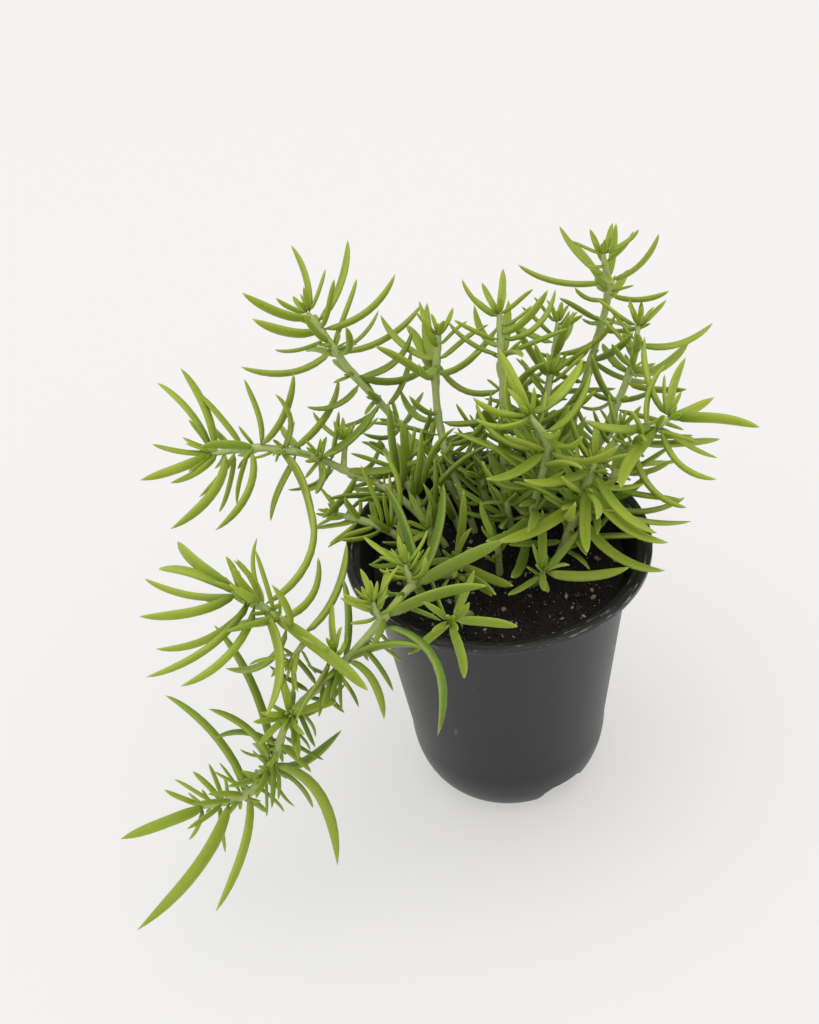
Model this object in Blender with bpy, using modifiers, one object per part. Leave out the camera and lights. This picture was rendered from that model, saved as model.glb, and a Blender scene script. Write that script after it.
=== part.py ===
"""A potted sedum: a small plastic nursery pot with three drainage notches, its soil, and the leafy
stems, which stand in plain holes in the soil. Some rise above the pot and some trail over its rim.
"""

import math
import random
from collections import namedtuple

import bmesh
import bpy
from mathutils import Quaternion, Vector, noise

MM = 0.001

# Pot, in mm: its axis is Z and its base stands on z = 0.
RIM_RADIUS = 40.0
POT_HEIGHT = 78.0
WALL = 1.1
FLOOR = 1.3
THROAT_RADIUS = 33.7  # inside of the wall, where it meets the rim
THROAT_DROP = 4.5  # how far that is below the top
RIM_PROFILE = (  # mm in from the rim's edge and down from the top, from the throat over the crown
    (3.8, 0.7), (2.3, 0.4), (2.0, 0), (0.3, 0), (0, 0.3), (0, 1.6), (3.6, 2.0), (5.4, 3.2))
COLLAR_RADIUS = 34.45  # outside of the wall, just under the rim's flange
COLLAR_DROP = 4.0
SHOULDER_RADIUS = 26.9  # outside of the wall where the round bottom corner starts
SHOULDER_HEIGHT = 19.0
BASE_RADIUS = 17.5
CORNER_POINTS = 4
TURN_STEPS = 36
NOTCH_BEARINGS = (66, 186, 306)
NOTCH_TOP = 8.5
NOTCH_WIDTH = 15.0
NOTCH_INNER_RADIUS = 15.5

# Soil, in mm.
SOIL_TOP = 71.5
SOIL_RINGS = (0, 0.3, 0.6, 0.85, 1.0)  # of its radius
SOIL_STEPS = 24
LUMP_HEIGHT = 0.8
LUMPS_PER_METRE = 90
FIT_GAP = 0.35
PLANTING_DEPTH = 6.0
HOLE_RADIUS = 1.6
HOLE_SIDES = 6
HOLE_HEADROOM = 4.0  # how far a hole's cutter rises above the soil

# Stems, in mm.
STEM_RADIUS = 1.0
STEM_TIP_RADIUS = 0.6
STEM_SPACING = 7.0
STRAIGHT_FOOT = 2.0  # how far below the soil's top a stem starts to lean

# One leaf, in mm.
LEAF_HALF_WIDTH = 1.65
LEAST_WIDTH = 0.2  # of the full width, on the shortest leaf
WIDENING = 33.0  # how much longer a leaf is that is wider by the whole width
LEAF_BOW = 0.0042  # for each mm of length, as a share of it
MOST_BOW = 0.09
LEAF_THICKNESS = 0.9
LEAF_RISE = 0.2  # how much of that lies above the leaf's centre line
ROOT_INSET = 0.5  # how far from its stem's centre line a leaf starts
ROOT_SINK = 0.5  # how far its foot reaches back from there, to the stem's centre line
ROOT_DROP = 0.3  # how far down the stem that foot goes, so that the leaves at its tip are held too
ROOT_SHARE = 0.36  # of the leaf's width, at its root
FOOT_SHARE = 0.3  # of the root's width, at its foot inside the stem
FILLING_OUT = 2.2  # how fast that grows along the leaf
WIDEST_TO = 0.45  # of its length
TAPERING = 2.2
MORE_RINGS_FROM = (11, 24)  # leaves longer than each of these have one more ring of points
TIP_SHARE = 0.8  # how long the pointed end is, in spaces between rings

# How leaves are laid out along a shoot, from its tip downwards, in mm and degrees.
WHORL_LEAVES = (2, 3, 4, 4, 3, 3, 2, 2, 2)
WHORL_GROWTH = (0.28, 0.52, 0.85, 1.0, 1.0, 0.97, 0.92, 0.88, 0.85)
WHORL_OPENING = (28, 47, 59, 66, 71, 76, 80, 84, 86)
FIRST_BACK = 0.8
FIRST_GAP = 2.6
FULL_SHOOT = 14.0  # on a shorter shoot the whorls are closer together
GAP_GROWTH = 1.5
WIDEST_GAP = 9.5
BARE_FOOT = 11.0
BARE_FORK = 1.5
PLACE_SPREAD = 0.3  # how far up or down from its whorl a leaf may grow, in gaps
BEARING_SPREAD = 20
OPENING_SPREAD = 13
LENGTH_SPREAD = (0.75, 1.2)
ARCH_SPREAD = (-0.2, 2.2)
BESIDE_LONG = 4.5  # a whorl leaf this near to a long leaf
LIKE_LONG = 0.87  # and pointing this much the same way is left out
SEED = 7

# How leaves are kept apart, in mm and degrees.
CLEARANCE = 0.35
RIM_CLEARANCE = 0.4
SOIL_CLEARANCE = 1.2
SIDE_CLEARANCE = 0.5
MOUTH_MARGIN = 7.0  # how far inside the rim's edge a leaf may lie below the rim
GROUND_CLEARANCE = 1.0
BALLS_PER_LEAF = 27
FIRST_BALL = 0.16  # of the leaf's length
BALL_MARGIN = 0.12
SHORTENINGS = (1, 0.85, 0.7, 0.5)
LEANS = (0, 10, -12, 20, -24)
TURNS = (0, 9, -9, 18, -18, 28, -28)

# A shoot is a stem or a branch. Its route runs from the soil, or from its parent stem, to its tip.
Shoot = namedtuple("Shoot", "name node planted bearing leaf_length whorls route")
SHOOTS = (
    Shoot("trailing", "trailing_stem", True, 20, 15, 9, (
        (-9, -6, 72), (-15, -13, 80), (-22, -21, 84), (-30, -33, 83.5), (-41, -36, 72),
        (-55, -37, 57), (-61, -42, 45), (-69, -45, 37), (-81, -43, 31))),
    Shoot("trailing_branch", "trailing_stem", False, 50, 20, 4, (
        (-41, -36, 72), (-49, -32, 78), (-58, -27, 84), (-65, -24, 88))),
    Shoot("trailing_top_side", "trailing_stem", False, 0, 14, 3, ((-22, -21, 84), (-23.5, -19, 89.5))),
    Shoot("trailing_high_side", "trailing_stem", False, 10, 15, 3, ((-30, -33, 83.5), (-31.5, -31.5, 89))),
    Shoot("trailing_mid_side", "trailing_stem", False, 40, 15, 2, ((-41, -36, 72), (-42, -36, 77))),
    Shoot("trailing_low_side", "trailing_stem", False, 25, 15, 3, ((-55, -37, 57), (-55, -41, 61))),
    Shoot("trailing_under_side", "trailing_stem", False, 0, 12, 2, ((-49, -32, 78), (-53, -36, 75))),
    Shoot("left", "left_stem", True, 10, 19, 8, (
        (-14, 8, 72), (-20, 13, 78), (-28, 18, 84), (-40, 24, 87),
        (-47, 25, 91), (-55, 25, 94), (-64, 27, 94), (-75, 28, 92))),
    Shoot("left_branch", "left_stem", False, 0, 14, 1, (
        (-40, 24, 87), (-39.5, 27, 90), (-39, 29, 93))),
    Shoot("back_left", "back_left_stem", True, 30, 21, 8, (
        (-10, 14, 72), (-15, 24, 80), (-24, 39, 88), (-36, 43.5, 104), (-41, 46, 112), (-47, 51, 120))),
    Shoot("upright_left", "upright_left_stem", True, 0, 23, 6, (
        (-6, 13, 72), (-9, 20, 80), (-13, 30, 90), (-14, 38, 102), (-12, 42, 116))),
    Shoot("rim_left", "rim_left_stem", True, 15, 19, 4, (
        (-17, 12, 72), (-20, 17, 78), (-24, 23, 84), (-29, 30, 88.5))),
    Shoot("rim_back", "rim_back_stem", True, 40, 16, 4, ((-9, 22, 72), (-13, 28, 79), (-17, 35, 85.5))),
    Shoot("over_rim_left", "over_rim_left_stem", True, 0, 15, 5, (
        (-21, 4, 72), (-26, 6, 77.5), (-32, 8, 80.5), (-42, 11, 82.5))),
    Shoot("front_low", "front_low_stem", True, 20, 14, 3, ((-11, -1, 72), (-11.5, -6, 79))),
    Shoot("front_rim", "front_rim_stem", True, 60, 14, 2, ((-8, -20, 72), (-10, -27, 79), (-13, -36, 85))),
    Shoot("soil_right", "soil_right_stem", True, 30, 15, 2, ((8, -10, 72), (10, -14, 77), (11, -16, 82))),
    Shoot("centre", "centre_stem", True, 10, 22, 6, ((7, 3, 72), (10, 5, 86), (14, 8, 103), (10, 9.5, 112))),
    Shoot("right_front", "right_front_stem", True, 70, 18, 5, ((15, -1, 72), (20, 1, 84), (26, 4, 100))),
    Shoot("right", "right_stem", True, 20, 20, 7, (
        (20, 6, 72), (28, 9, 84), (36, 14, 96), (46, 15, 104))),
    Shoot("right_back", "right_back_stem", True, 0, 18, 5, ((22, 13, 72), (28, 21, 82), (35, 30, 91))),
    Shoot("top", "top_stem", True, 0, 20, 8, (
        (14, 21, 72), (21, 34, 86), (30, 53, 102), (34, 60, 113), (33, 61, 126))),
    Shoot("back_right", "back_right_stem", True, 25, 20, 7, (
        (20, 19, 72), (29, 30, 86), (38, 40, 101), (41, 46, 112))),
    Shoot("back", "back_stem", True, 45, 22, 8, ((2, 14, 72), (3, 24, 88), (4, 34, 104), (4, 41, 122))),
    Shoot("far_back", "far_back_stem", True, 10, 22, 7, (
        (8, 24, 72), (12, 36, 84), (18, 50, 98), (20, 56, 108))),
    Shoot("mid_back", "mid_back_stem", True, 60, 22, 6, ((8, 15, 72), (12, 27, 86), (17, 39, 103))),
    Shoot("low_back", "low_back_stem", True, 0, 16, 4, ((-3, 22, 72), (-4, 30, 80), (-4, 37, 88))),
    Shoot("inner_front", "inner_front_stem", True, 15, 17, 4, ((0, -4, 72), (0, -3, 81))),
    Shoot("inner_left", "inner_left_stem", True, 35, 18, 4, ((-16, 4, 72), (-18, 2, 83))),
    Shoot("inner_centre", "inner_centre_stem", True, 0, 18, 4, ((4, 9, 72), (3, 8, 86))),
    Shoot("inner_back", "inner_back_stem", True, 50, 17, 4, ((-2, 18, 72), (-3, 19, 85))),
    Shoot("inner_right", "inner_right_stem", True, 20, 17, 4, ((15, 15, 72), (15.5, 17, 84))),
    Shoot("inner_low_left", "inner_low_left_stem", True, 10, 16, 4, ((-24, -8, 72), (-25, -8, 81))),
)

# The long leaves that give the plant its outline: how far back from the tip of its shoot each one
# grows, the reach of its own tip from there along X, Y and Z, and how strongly it arches.
LONG_LEAVES = {
    "trailing": (
        (1, -20, -14, 5, 1), (9, -21, -38, -3, 1.5), (15, -21, 21, 16, 1), (15, -7, -35, -4, 1.5),
        (25, 17, 18, -7, -2.6), (25, -14, 2, 19, 1.4), (26, -15, 31, 20, 1), (25, 17, -31, -5, 2.4),
        (40, 13, 15, -5, -2.2), (62, 21, -9, 11, 1.2), (62, 0, 20, 10, 1), (63, 9, -20, -2, 1.8),
        (76, 13, -33, -7, 2.6), (78, 26, -3, 11, 1), (91, 24, -3, 16, 1), (93, -7, 16, 20, 1),
        (93, 8, 23, 13, 1)),
    "trailing_branch": (
        (0, -22, 14, -3, -1.8), (0, -22, -17, 10, 1), (0, -17, 21, 0, -2), (3, -24, -25, 0, 1.2),
        (5, -17, -27, -1, 1.2), (7, 1, -31, -7, 1.4), (7, 11, 30, 12, 2), (10, 24, -27, -2, 1.2),
        (19, 11, 27, 7, 1.2), (1, -24, 3, 5, 1), (4, -24, -11, -4, 1.4)),
    "left": (
        (0, -14, 13, 15, 1), (0, -18, -12, 2, 1), (1, -8, 12, 20, 1), (1, -17, 2, 3, -1),
        (2, -13, -8, -3, 1.8), (3, -11, 5, 2, -1), (4, -14, -25, -5, 1.8),
        (11, -9, -24, -8, 1.8), (13, 12, 1, 23, 1), (20, 7, -25, -11, 1), (22, 13, 23, 6, 1),
        (30, 17, -1, 18, 1), (37, 22, -7, 8, 1)),
    "back_left": (
        (1, -4, 15, 13, 1), (2, -16, -11, 17, 1), (4, 9, 21, 13, 1), (6, -16, -14, 15, 1),
        (6, 21, 8, 11, 1.4), (12, -23, -18, 9, 1.4), (13, 23, 15, 4, 1.4), (21, 23, 15, -5, 1.8)),
    "front_rim": ((0, 3, -17, -3, 1.6), (2, 16, -7, 3, 1.6), (3, -13, -7, 0, 1.4), (3, 6, 10, 7, 1)),
    "soil_right": (
        (0, 1, 16, 7, 1), (1, 20, -9, 1, 1.8), (2, -9, -9, 2, 1.2), (2, 10, 9, 6, 1), (2, 1, -10, 3, 1)),
    "centre": (
        (0, -7, 22, 6, 1), (0, 15, 20, 3, 1), (0, -14, -7, 12, 1), (1, -14, -11, 9, 1),
        (11, -16, -17, 5, 1)),
    "right_front": (
        (2, 14, -23, -3, 1.2), (2, -18, -15, 10, 1), (6, 18, -24, -1, 1.4), (6, -2, -24, -3, 1),
        (11, -25, -16, 5, 1.2), (15, 17, -25, 0, 1.6)),
    "right": (
        (0, -4, 23, 10, 1), (0, 6, 18, 6, 1), (0, 13, 13, -4, 1), (0, 20, -20, 11, -0.5),
        (3, 12, -20, -3, 1.6), (3, -12, -23, -1, 1.6), (4, -19, -12, 13, 1), (12, 12, -21, -4, 1.8)),
    "top": ((8, -12, 12, 10, 1), (9, 13, -4, 17, 1.4), (9, -24, 0, 7, 1)),
    "back_right": ((5, 20, -2, 7, 1.6),),
    "back": ((0, 2, 13, 6, 1), (1, -9, -2, 14, 1)),
}

Leaf = namedtuple("Leaf", "root tip bow facing half_width")


def make_material(name, colour, roughness):
    material = bpy.data.materials.new(name)
    material.use_nodes = True
    shader = material.node_tree.nodes["Principled BSDF"]
    shader.inputs["Base Color"].default_value = (*colour, 1.0)
    shader.inputs["Roughness"].default_value = roughness
    shader.inputs["Metallic"].default_value = 0.0
    material.diffuse_color = (*colour, 1.0)
    return material


def add_object(name, mesh, collection):
    made = bpy.data.objects.new(name, mesh)
    collection.objects.link(made)
    return made


def plain_mesh(source):
    """The mesh that an object's curve or modifiers evaluate to."""
    graph = bpy.context.evaluated_depsgraph_get()
    graph.update()
    return bpy.data.meshes.new_from_object(source.evaluated_get(graph))


def weld(mesh):
    """Close the seams between a curve's caps and its sides."""
    shape = bmesh.new()
    shape.from_mesh(mesh)
    bmesh.ops.remove_doubles(shape, verts=shape.verts, dist=0.002 * MM)
    shape.to_mesh(mesh)
    shape.free()


def turned(name, profile, steps, collection):
    """A solid turned round Z from (radius, height) points in mm, which end down the outer side."""
    mesh = bpy.data.meshes.new(name)
    points = [(radius * MM, 0, height * MM) for radius, height in profile]
    mesh.from_pydata(points, [(i, i + 1) for i in range(len(points) - 1)], [])
    solid = add_object(name, mesh, collection)
    screw = solid.modifiers.new("turn", "SCREW")
    screw.steps = steps
    screw.render_steps = steps
    screw.use_merge_vertices = True
    screw.merge_threshold = 0.00001
    return solid


def subtract(solid, cutters):
    """Cut every object of a collection out of a solid, and apply the cut."""
    cut = solid.modifiers.new("cut", "BOOLEAN")
    cut.operation = "DIFFERENCE"
    cut.operand_type = "COLLECTION"
    cut.collection = cutters
    finished = plain_mesh(solid)
    solid.modifiers.clear()
    solid.data = finished


def round_corner(radius, height, inset, rise):
    """Points of the quarter ellipse from the wall's foot at the shoulder down to the flat base."""
    angles = [math.pi / 2 * i / CORNER_POINTS for i in range(CORNER_POINTS + 1)]
    return [(radius + inset * math.cos(a), height + rise * (1 - math.sin(a))) for a in angles]


def inner_wall(gap=0.0):
    """The pot's inside from its floor up to where it flares, moved inwards by a gap."""
    corner = round_corner(
        BASE_RADIUS - gap, FLOOR + gap, SHOULDER_RADIUS - WALL - BASE_RADIUS, SHOULDER_HEIGHT - FLOOR)
    return corner[::-1]


def wall_radius(height):
    """Radius of the pot's inside at a height above the shoulder."""
    share = (height - SHOULDER_HEIGHT) / (POT_HEIGHT - THROAT_DROP - SHOULDER_HEIGHT)
    foot = SHOULDER_RADIUS - WALL
    return foot + share * (THROAT_RADIUS - foot)


def make_pot(parts, cutters):
    inside = [(0, FLOOR)] + inner_wall() + [(THROAT_RADIUS, POT_HEIGHT - THROAT_DROP)]
    crown = [(RIM_RADIUS - inset, POT_HEIGHT - drop) for inset, drop in RIM_PROFILE]
    collar = [(COLLAR_RADIUS, POT_HEIGHT - COLLAR_DROP)]
    outside = round_corner(BASE_RADIUS, 0, SHOULDER_RADIUS - BASE_RADIUS, SHOULDER_HEIGHT)
    pot = turned("pot", inside + crown + collar + outside + [(0, 0)], TURN_STEPS, parts)
    for bearing in NOTCH_BEARINGS:
        depth = RIM_RADIUS - NOTCH_INNER_RADIUS
        middle = NOTCH_INNER_RADIUS + depth / 2
        angle = math.radians(bearing)
        bpy.ops.mesh.primitive_cube_add(size=1)
        cutter = bpy.context.object
        cutter.name = f"notch_{bearing}"
        cutter.scale = (depth * MM, NOTCH_WIDTH * MM, 2 * NOTCH_TOP * MM)
        cutter.rotation_euler = (0, 0, angle)
        cutter.location = (middle * MM * math.cos(angle), middle * MM * math.sin(angle), 0)
        move_to(cutter, cutters)
    subtract(pot, cutters)
    pot.data.shade_smooth()
    pot.data.set_sharp_from_angle(angle=math.radians(30))
    return pot


def move_to(made, collection):
    for old in list(made.users_collection):
        old.objects.unlink(made)
    collection.objects.link(made)
    made.hide_render = True
    made.display_type = "WIRE"


def make_soil(parts, holes):
    top_radius = wall_radius(SOIL_TOP) - FIT_GAP
    surface = [(top_radius * share, SOIL_TOP) for share in SOIL_RINGS]
    wall = [(radius - FIT_GAP, height) for radius, height in inner_wall()[::-1]]
    foot = [(wall[-1][0], FLOOR + FIT_GAP), (0, FLOOR + FIT_GAP)]
    soil = turned("soil", surface + wall[:-1] + foot, SOIL_STEPS, parts)
    soil.data = plain_mesh(soil)
    soil.modifiers.clear()
    for vertex in soil.data.vertices:
        radius = math.hypot(vertex.co.x, vertex.co.y) / MM
        if vertex.co.z > (SOIL_TOP - 0.01) * MM:
            lump = noise.noise(vertex.co * LUMPS_PER_METRE) * LUMP_HEIGHT
            vertex.co.z += lump * (1 - (radius / top_radius) ** 4) * MM
    bottom = SOIL_TOP - PLANTING_DEPTH - FIT_GAP
    height = SOIL_TOP + HOLE_HEADROOM - bottom
    for shoot in SHOOTS:
        if not shoot.planted:
            continue
        x, y, _ = shoot.route[0]
        bpy.ops.mesh.primitive_cylinder_add(
            vertices=HOLE_SIDES, radius=HOLE_RADIUS * MM, depth=height * MM,
            location=(x * MM, y * MM, (bottom + height / 2) * MM))
        hole = bpy.context.object
        hole.name = f"hole_{shoot.name}"
        move_to(hole, holes)
    subtract(soil, holes)
    return soil


def smooth_line(points, step=1.0):
    """Points about a step apart on the smooth curve through the given points."""
    points = [Vector(point) for point in points]
    points = [2 * points[0] - points[1]] + points + [2 * points[-1] - points[-2]]
    line = []
    for before, start, end, after in zip(points, points[1:], points[2:], points[3:]):
        pieces = max(2, round((end - start).length / step))
        for i in range(pieces):
            t = i / pieces
            line.append(0.5 * (
                2 * start + (end - before) * t + (2 * before - 5 * start + 4 * end - after) * t ** 2
                + (3 * start - before - 3 * end + after) * t ** 3))
    return line + [points[-2]]


def shoot_line(shoot):
    """The shoot's centre line. A planted one goes straight down into its hole first."""
    route = list(shoot.route)
    if shoot.planted:
        x, y, _ = route[0]
        route = [(x, y, SOIL_TOP - PLANTING_DEPTH), (x, y, SOIL_TOP - STRAIGHT_FOOT)] + route
    return smooth_line(route)


def length_of(line):
    return sum((b - a).length for a, b in zip(line, line[1:]))


def point_back(line, back):
    """The point of a line that lies a distance back from its end."""
    for end, start in zip(line[::-1], line[-2::-1]):
        piece = (start - end).length
        if back <= piece:
            return end.lerp(start, max(back, 0) / piece)
        back -= piece
    return line[0].copy()


def axis_back(line, back):
    """The direction towards the tip, at a distance back from it."""
    return (point_back(line, back - 2) - point_back(line, back + 2)).normalized()


class Room:
    """The space that the stems and leaves fill, as balls in a grid of cells."""

    CELL = 3.4

    def __init__(self):
        self.cells = {}

    def cell(self, point):
        return tuple(math.floor(value / self.CELL) for value in point)

    def fill(self, balls, node):
        for point, radius in balls:
            self.cells.setdefault(self.cell(point), []).append((point, radius, node))

    def is_clear(self, balls, node):
        """Whether the balls keep clear of every other node."""
        steps = (-1, 0, 1)
        for point, radius in balls:
            x, y, z = self.cell(point)
            for near in ((x + i, y + j, z + k) for i in steps for j in steps for k in steps):
                for other, other_radius, owner in self.cells.get(near, ()):
                    reach = radius + other_radius + CLEARANCE
                    if owner != node and (other - point).length_squared < reach * reach:
                        return False
        return True


def clears_pot(balls):
    """Whether the balls lie above the rim, inside it above the soil, or outside the pot."""
    for point, radius in balls:
        out = math.hypot(point.x, point.y)
        low = point.z - radius
        above = low > POT_HEIGHT + RIM_CLEARANCE
        inside = out + radius < RIM_RADIUS - MOUTH_MARGIN and low > SOIL_TOP + SOIL_CLEARANCE
        outside = out - radius > RIM_RADIUS + SIDE_CLEARANCE and low > GROUND_CLEARANCE
        if not (above or inside or outside):
            return False
    return True


def blade_share(t):
    """The leaf's width at t, from 0 at its root to 1 at its tip, as a share of its full width."""
    widening = min(1.0, ROOT_SHARE + FILLING_OUT * t)
    return widening * (1 - max(0.0, (t - WIDEST_TO) / (1 - WIDEST_TO)) ** TAPERING)


def on_leaf(leaf, t):
    """The point of the leaf's bent centre line at t."""
    bend = (leaf.root + leaf.tip) / 2 + 2 * leaf.bow
    return leaf.root * (1 - t) ** 2 + bend * 2 * t * (1 - t) + leaf.tip * t * t


def leaf_balls(leaf):
    """Balls along the leaf, but for its root, which lies in its stem."""
    last = BALLS_PER_LEAF - 1
    shares = [FIRST_BALL + (1 - FIRST_BALL) * i / last for i in range(BALLS_PER_LEAF)]
    return [(on_leaf(leaf, t), leaf.half_width * blade_share(t) + BALL_MARGIN) for t in shares]


def grow_leaf(root, axis, direction, length, arch=1.0):
    """A leaf along a direction. It opens wide and then curves back towards the shoot's tip."""
    inward = (axis - axis.dot(direction) * direction).normalized()
    bow = min(LEAF_BOW * length, MOST_BOW) * arch * length
    tip = root + length * direction
    root = root + ROOT_INSET * direction
    width = LEAF_HALF_WIDTH * min(1.0, LEAST_WIDTH + length / WIDENING)
    return Leaf(root, tip, -inward * bow, inward, width)


def opened(axis, bearing, opening):
    """A direction at an opening angle from the axis, turned round it by a bearing, both in degrees."""
    up = Vector((0, 0, 1)) if abs(axis.z) < 0.94 else Vector((0, 1, 0))
    side = axis.cross(up).normalized()
    leaning = Quaternion(side.cross(axis), math.radians(-opening)) @ axis
    return Quaternion(axis, math.radians(bearing)) @ leaning


def place_leaf(room, node, root, axis, direction, length, arch=1.0):
    """The first way to turn, lean or shorten a leaf that keeps it clear, or None."""
    tilt_axis = axis.cross(direction).normalized()
    for share in SHORTENINGS:
        for lean in LEANS:
            leaning = Quaternion(tilt_axis, math.radians(lean)) @ direction
            for turn in TURNS:
                turned_to = Quaternion(axis, math.radians(turn)) @ leaning
                leaf = grow_leaf(root, axis, turned_to, length * share, arch)
                balls = leaf_balls(leaf)
                if clears_pot(balls) and room.is_clear(balls, node):
                    room.fill(balls, node)
                    return leaf
    return None


def grow_long_leaves(room, shoot, line):
    """The shoot's long leaves, and how far back and which way each one grows."""
    leaves = []
    taken = []
    for back, *reach, arch in LONG_LEAVES.get(shoot.name, ()):
        reach = Vector(reach)
        direction = reach.normalized()
        root = point_back(line, back)
        leaf = place_leaf(room, shoot.node, root, axis_back(line, back), direction, reach.length, arch)
        if leaf:
            leaves.append(leaf)
            taken.append((back, direction))
    return leaves, taken


def grow_whorls(room, shoot, line, taken, draw):
    """Whorls of leaves by rule, from the tip of a shoot downwards, between its long ones."""
    leaves = []
    lowest = length_of(line) - (BARE_FOOT if shoot.planted else BARE_FORK)
    back = FIRST_BACK
    gap = FIRST_GAP * min(1.0, length_of(line) / FULL_SHOOT)
    for whorl in range(shoot.whorls):
        if back > lowest:
            break
        axis = axis_back(line, back)
        count = WHORL_LEAVES[whorl]
        for i in range(count):
            bearing = shoot.bearing + (i + 0.5 * (whorl % 2)) * 360 / count
            bearing += draw.uniform(-BEARING_SPREAD, BEARING_SPREAD)
            length = shoot.leaf_length * WHORL_GROWTH[whorl] * draw.uniform(*LENGTH_SPREAD)
            opening = WHORL_OPENING[whorl] + draw.uniform(-OPENING_SPREAD, OPENING_SPREAD)
            arch = draw.uniform(*ARCH_SPREAD)
            root = point_back(line, back + gap * draw.uniform(-PLACE_SPREAD, PLACE_SPREAD))
            direction = opened(axis, bearing, opening)
            if any(abs(at - back) < BESIDE_LONG and direction.dot(way) > LIKE_LONG for at, way in taken):
                continue
            leaf = place_leaf(room, shoot.node, root, axis, direction, length, arch)
            if leaf:
                leaves.append(leaf)
        back += gap
        gap = min(gap * GAP_GROWTH, WIDEST_GAP)
    return leaves


def lay_out_leaves(lines):
    """The leaves of every shoot: the long ones of all of them first, then the whorls."""
    room = Room()
    for shoot in SHOOTS:
        room.fill([(point, STEM_RADIUS) for point in lines[shoot.name]], shoot.node)
    leaves = {}
    taken = {}
    for shoot in SHOOTS:
        leaves[shoot.name], taken[shoot.name] = grow_long_leaves(room, shoot, lines[shoot.name])
    draw = random.Random(SEED)
    for shoot in SHOOTS:
        leaves[shoot.name] += grow_whorls(room, shoot, lines[shoot.name], taken[shoot.name], draw)
    return leaves


def stem_object(shoot, line, collection):
    """The stem as a tube that narrows to its tip."""
    total = length_of(line)
    count = max(3, round(total / STEM_SPACING))
    curve = bpy.data.curves.new(shoot.name, "CURVE")
    curve.dimensions = "3D"
    curve.bevel_depth = STEM_RADIUS * MM
    curve.bevel_resolution = 0
    curve.use_fill_caps = True
    spline = curve.splines.new("POLY")
    spline.points.add(count)
    for i, point in enumerate(spline.points):
        back = total * (1 - i / count)
        point.co = (*(point_back(line, back) * MM), 1)
        point.radius = 1.0 if back > STEM_SPACING else STEM_TIP_RADIUS / STEM_RADIUS
    tube = add_object(shoot.name, curve, collection)
    solid = add_object(shoot.name, plain_mesh(tube), collection)
    weld(solid.data)
    bpy.data.objects.remove(tube)
    return solid


def leaf_object(name, leaf, collection):
    """A leaf as a loft of three-sided sections: flat above, with a keel below, and a pointed tip."""
    length = (leaf.tip - leaf.root).length
    direction = (leaf.tip - leaf.root) / length
    rings = 2 + sum(length > more for more in MORE_RINGS_FROM)
    last = 1 - TIP_SHARE / rings
    points = []
    for i in range(rings):
        t = last * i / (rings - 1)
        centre = on_leaf(leaf, t)
        ahead = (on_leaf(leaf, t + 0.01) - on_leaf(leaf, t - 0.01)).normalized()
        side = ahead.cross(leaf.facing).normalized()
        up = side.cross(ahead)
        share = blade_share(t)
        if i == 0:
            centre -= ROOT_SINK * direction + ROOT_DROP * leaf.facing
            share *= FOOT_SHARE
        half = side * leaf.half_width * share
        points += [centre + half + up * LEAF_RISE, centre - half + up * LEAF_RISE]
        points += [centre - up * (LEAF_THICKNESS - LEAF_RISE) * math.sqrt(share)]
    points.append(leaf.tip)
    faces = [(2, 1, 0)]
    for start in range(0, 3 * (rings - 1), 3):
        for a, b in ((0, 1), (1, 2), (2, 0)):
            faces.append((start + a, start + b, start + 3 + b, start + 3 + a))
    end = 3 * (rings - 1)
    tip = len(points) - 1
    faces += [(end + a, end + b, tip) for a, b in ((0, 1), (1, 2), (2, 0))]
    mesh = bpy.data.meshes.new(name)
    mesh.from_pydata([point * MM for point in points], [], faces)
    shape = bmesh.new()
    shape.from_mesh(mesh)
    bmesh.ops.triangulate(shape, faces=shape.faces)
    bmesh.ops.recalc_face_normals(shape, faces=shape.faces)
    shape.to_mesh(mesh)
    shape.free()
    return add_object(name, mesh, collection)


def keep_largest_body(mesh):
    """Drop the loose scraps and sealed hollows that fusing leaves."""
    shape = bmesh.new()
    shape.from_mesh(mesh)
    waiting = set(shape.verts)
    bodies = []
    while waiting:
        found = {waiting.pop()}
        front = list(found)
        while front:
            near = {edge.other_vert(vert) for vert in front for edge in vert.link_edges}
            front = list(near - found)
            found |= near
        waiting -= found
        bodies.append(found)
    largest = max(bodies, key=len)
    bmesh.ops.delete(shape, geom=[vert for vert in shape.verts if vert not in largest], context="VERTS")
    shape.to_mesh(mesh)
    shape.free()


def fuse(base, pieces):
    """Join a collection's objects to a base with one Boolean union, and remove the collection."""
    union = base.modifiers.new("join", "BOOLEAN")
    union.operation = "UNION"
    union.operand_type = "COLLECTION"
    union.collection = pieces
    union.solver = "MANIFOLD"
    joined = plain_mesh(base)
    base.modifiers.clear()
    base.data = joined
    keep_largest_body(base.data)
    for piece in list(pieces.objects):
        bpy.data.objects.remove(piece)
    bpy.data.collections.remove(pieces)


def make_leafy_stem(node, lines, leaves, parts):
    """One node: the shoots that share it, fused with their leaves."""
    shoots = [shoot for shoot in SHOOTS if shoot.node == node]
    pieces = bpy.data.collections.new(f"{node}_pieces")
    bpy.context.scene.collection.children.link(pieces)
    stem = stem_object(shoots[0], lines[shoots[0].name], parts)
    stem.name = node
    for branch in shoots[1:]:
        stem_object(branch, lines[branch.name], pieces)
    for shoot in shoots:
        for i, leaf in enumerate(leaves[shoot.name]):
            leaf_object(f"{shoot.name}_leaf_{i}", leaf, pieces)
    fuse(stem, pieces)
    return stem


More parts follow.
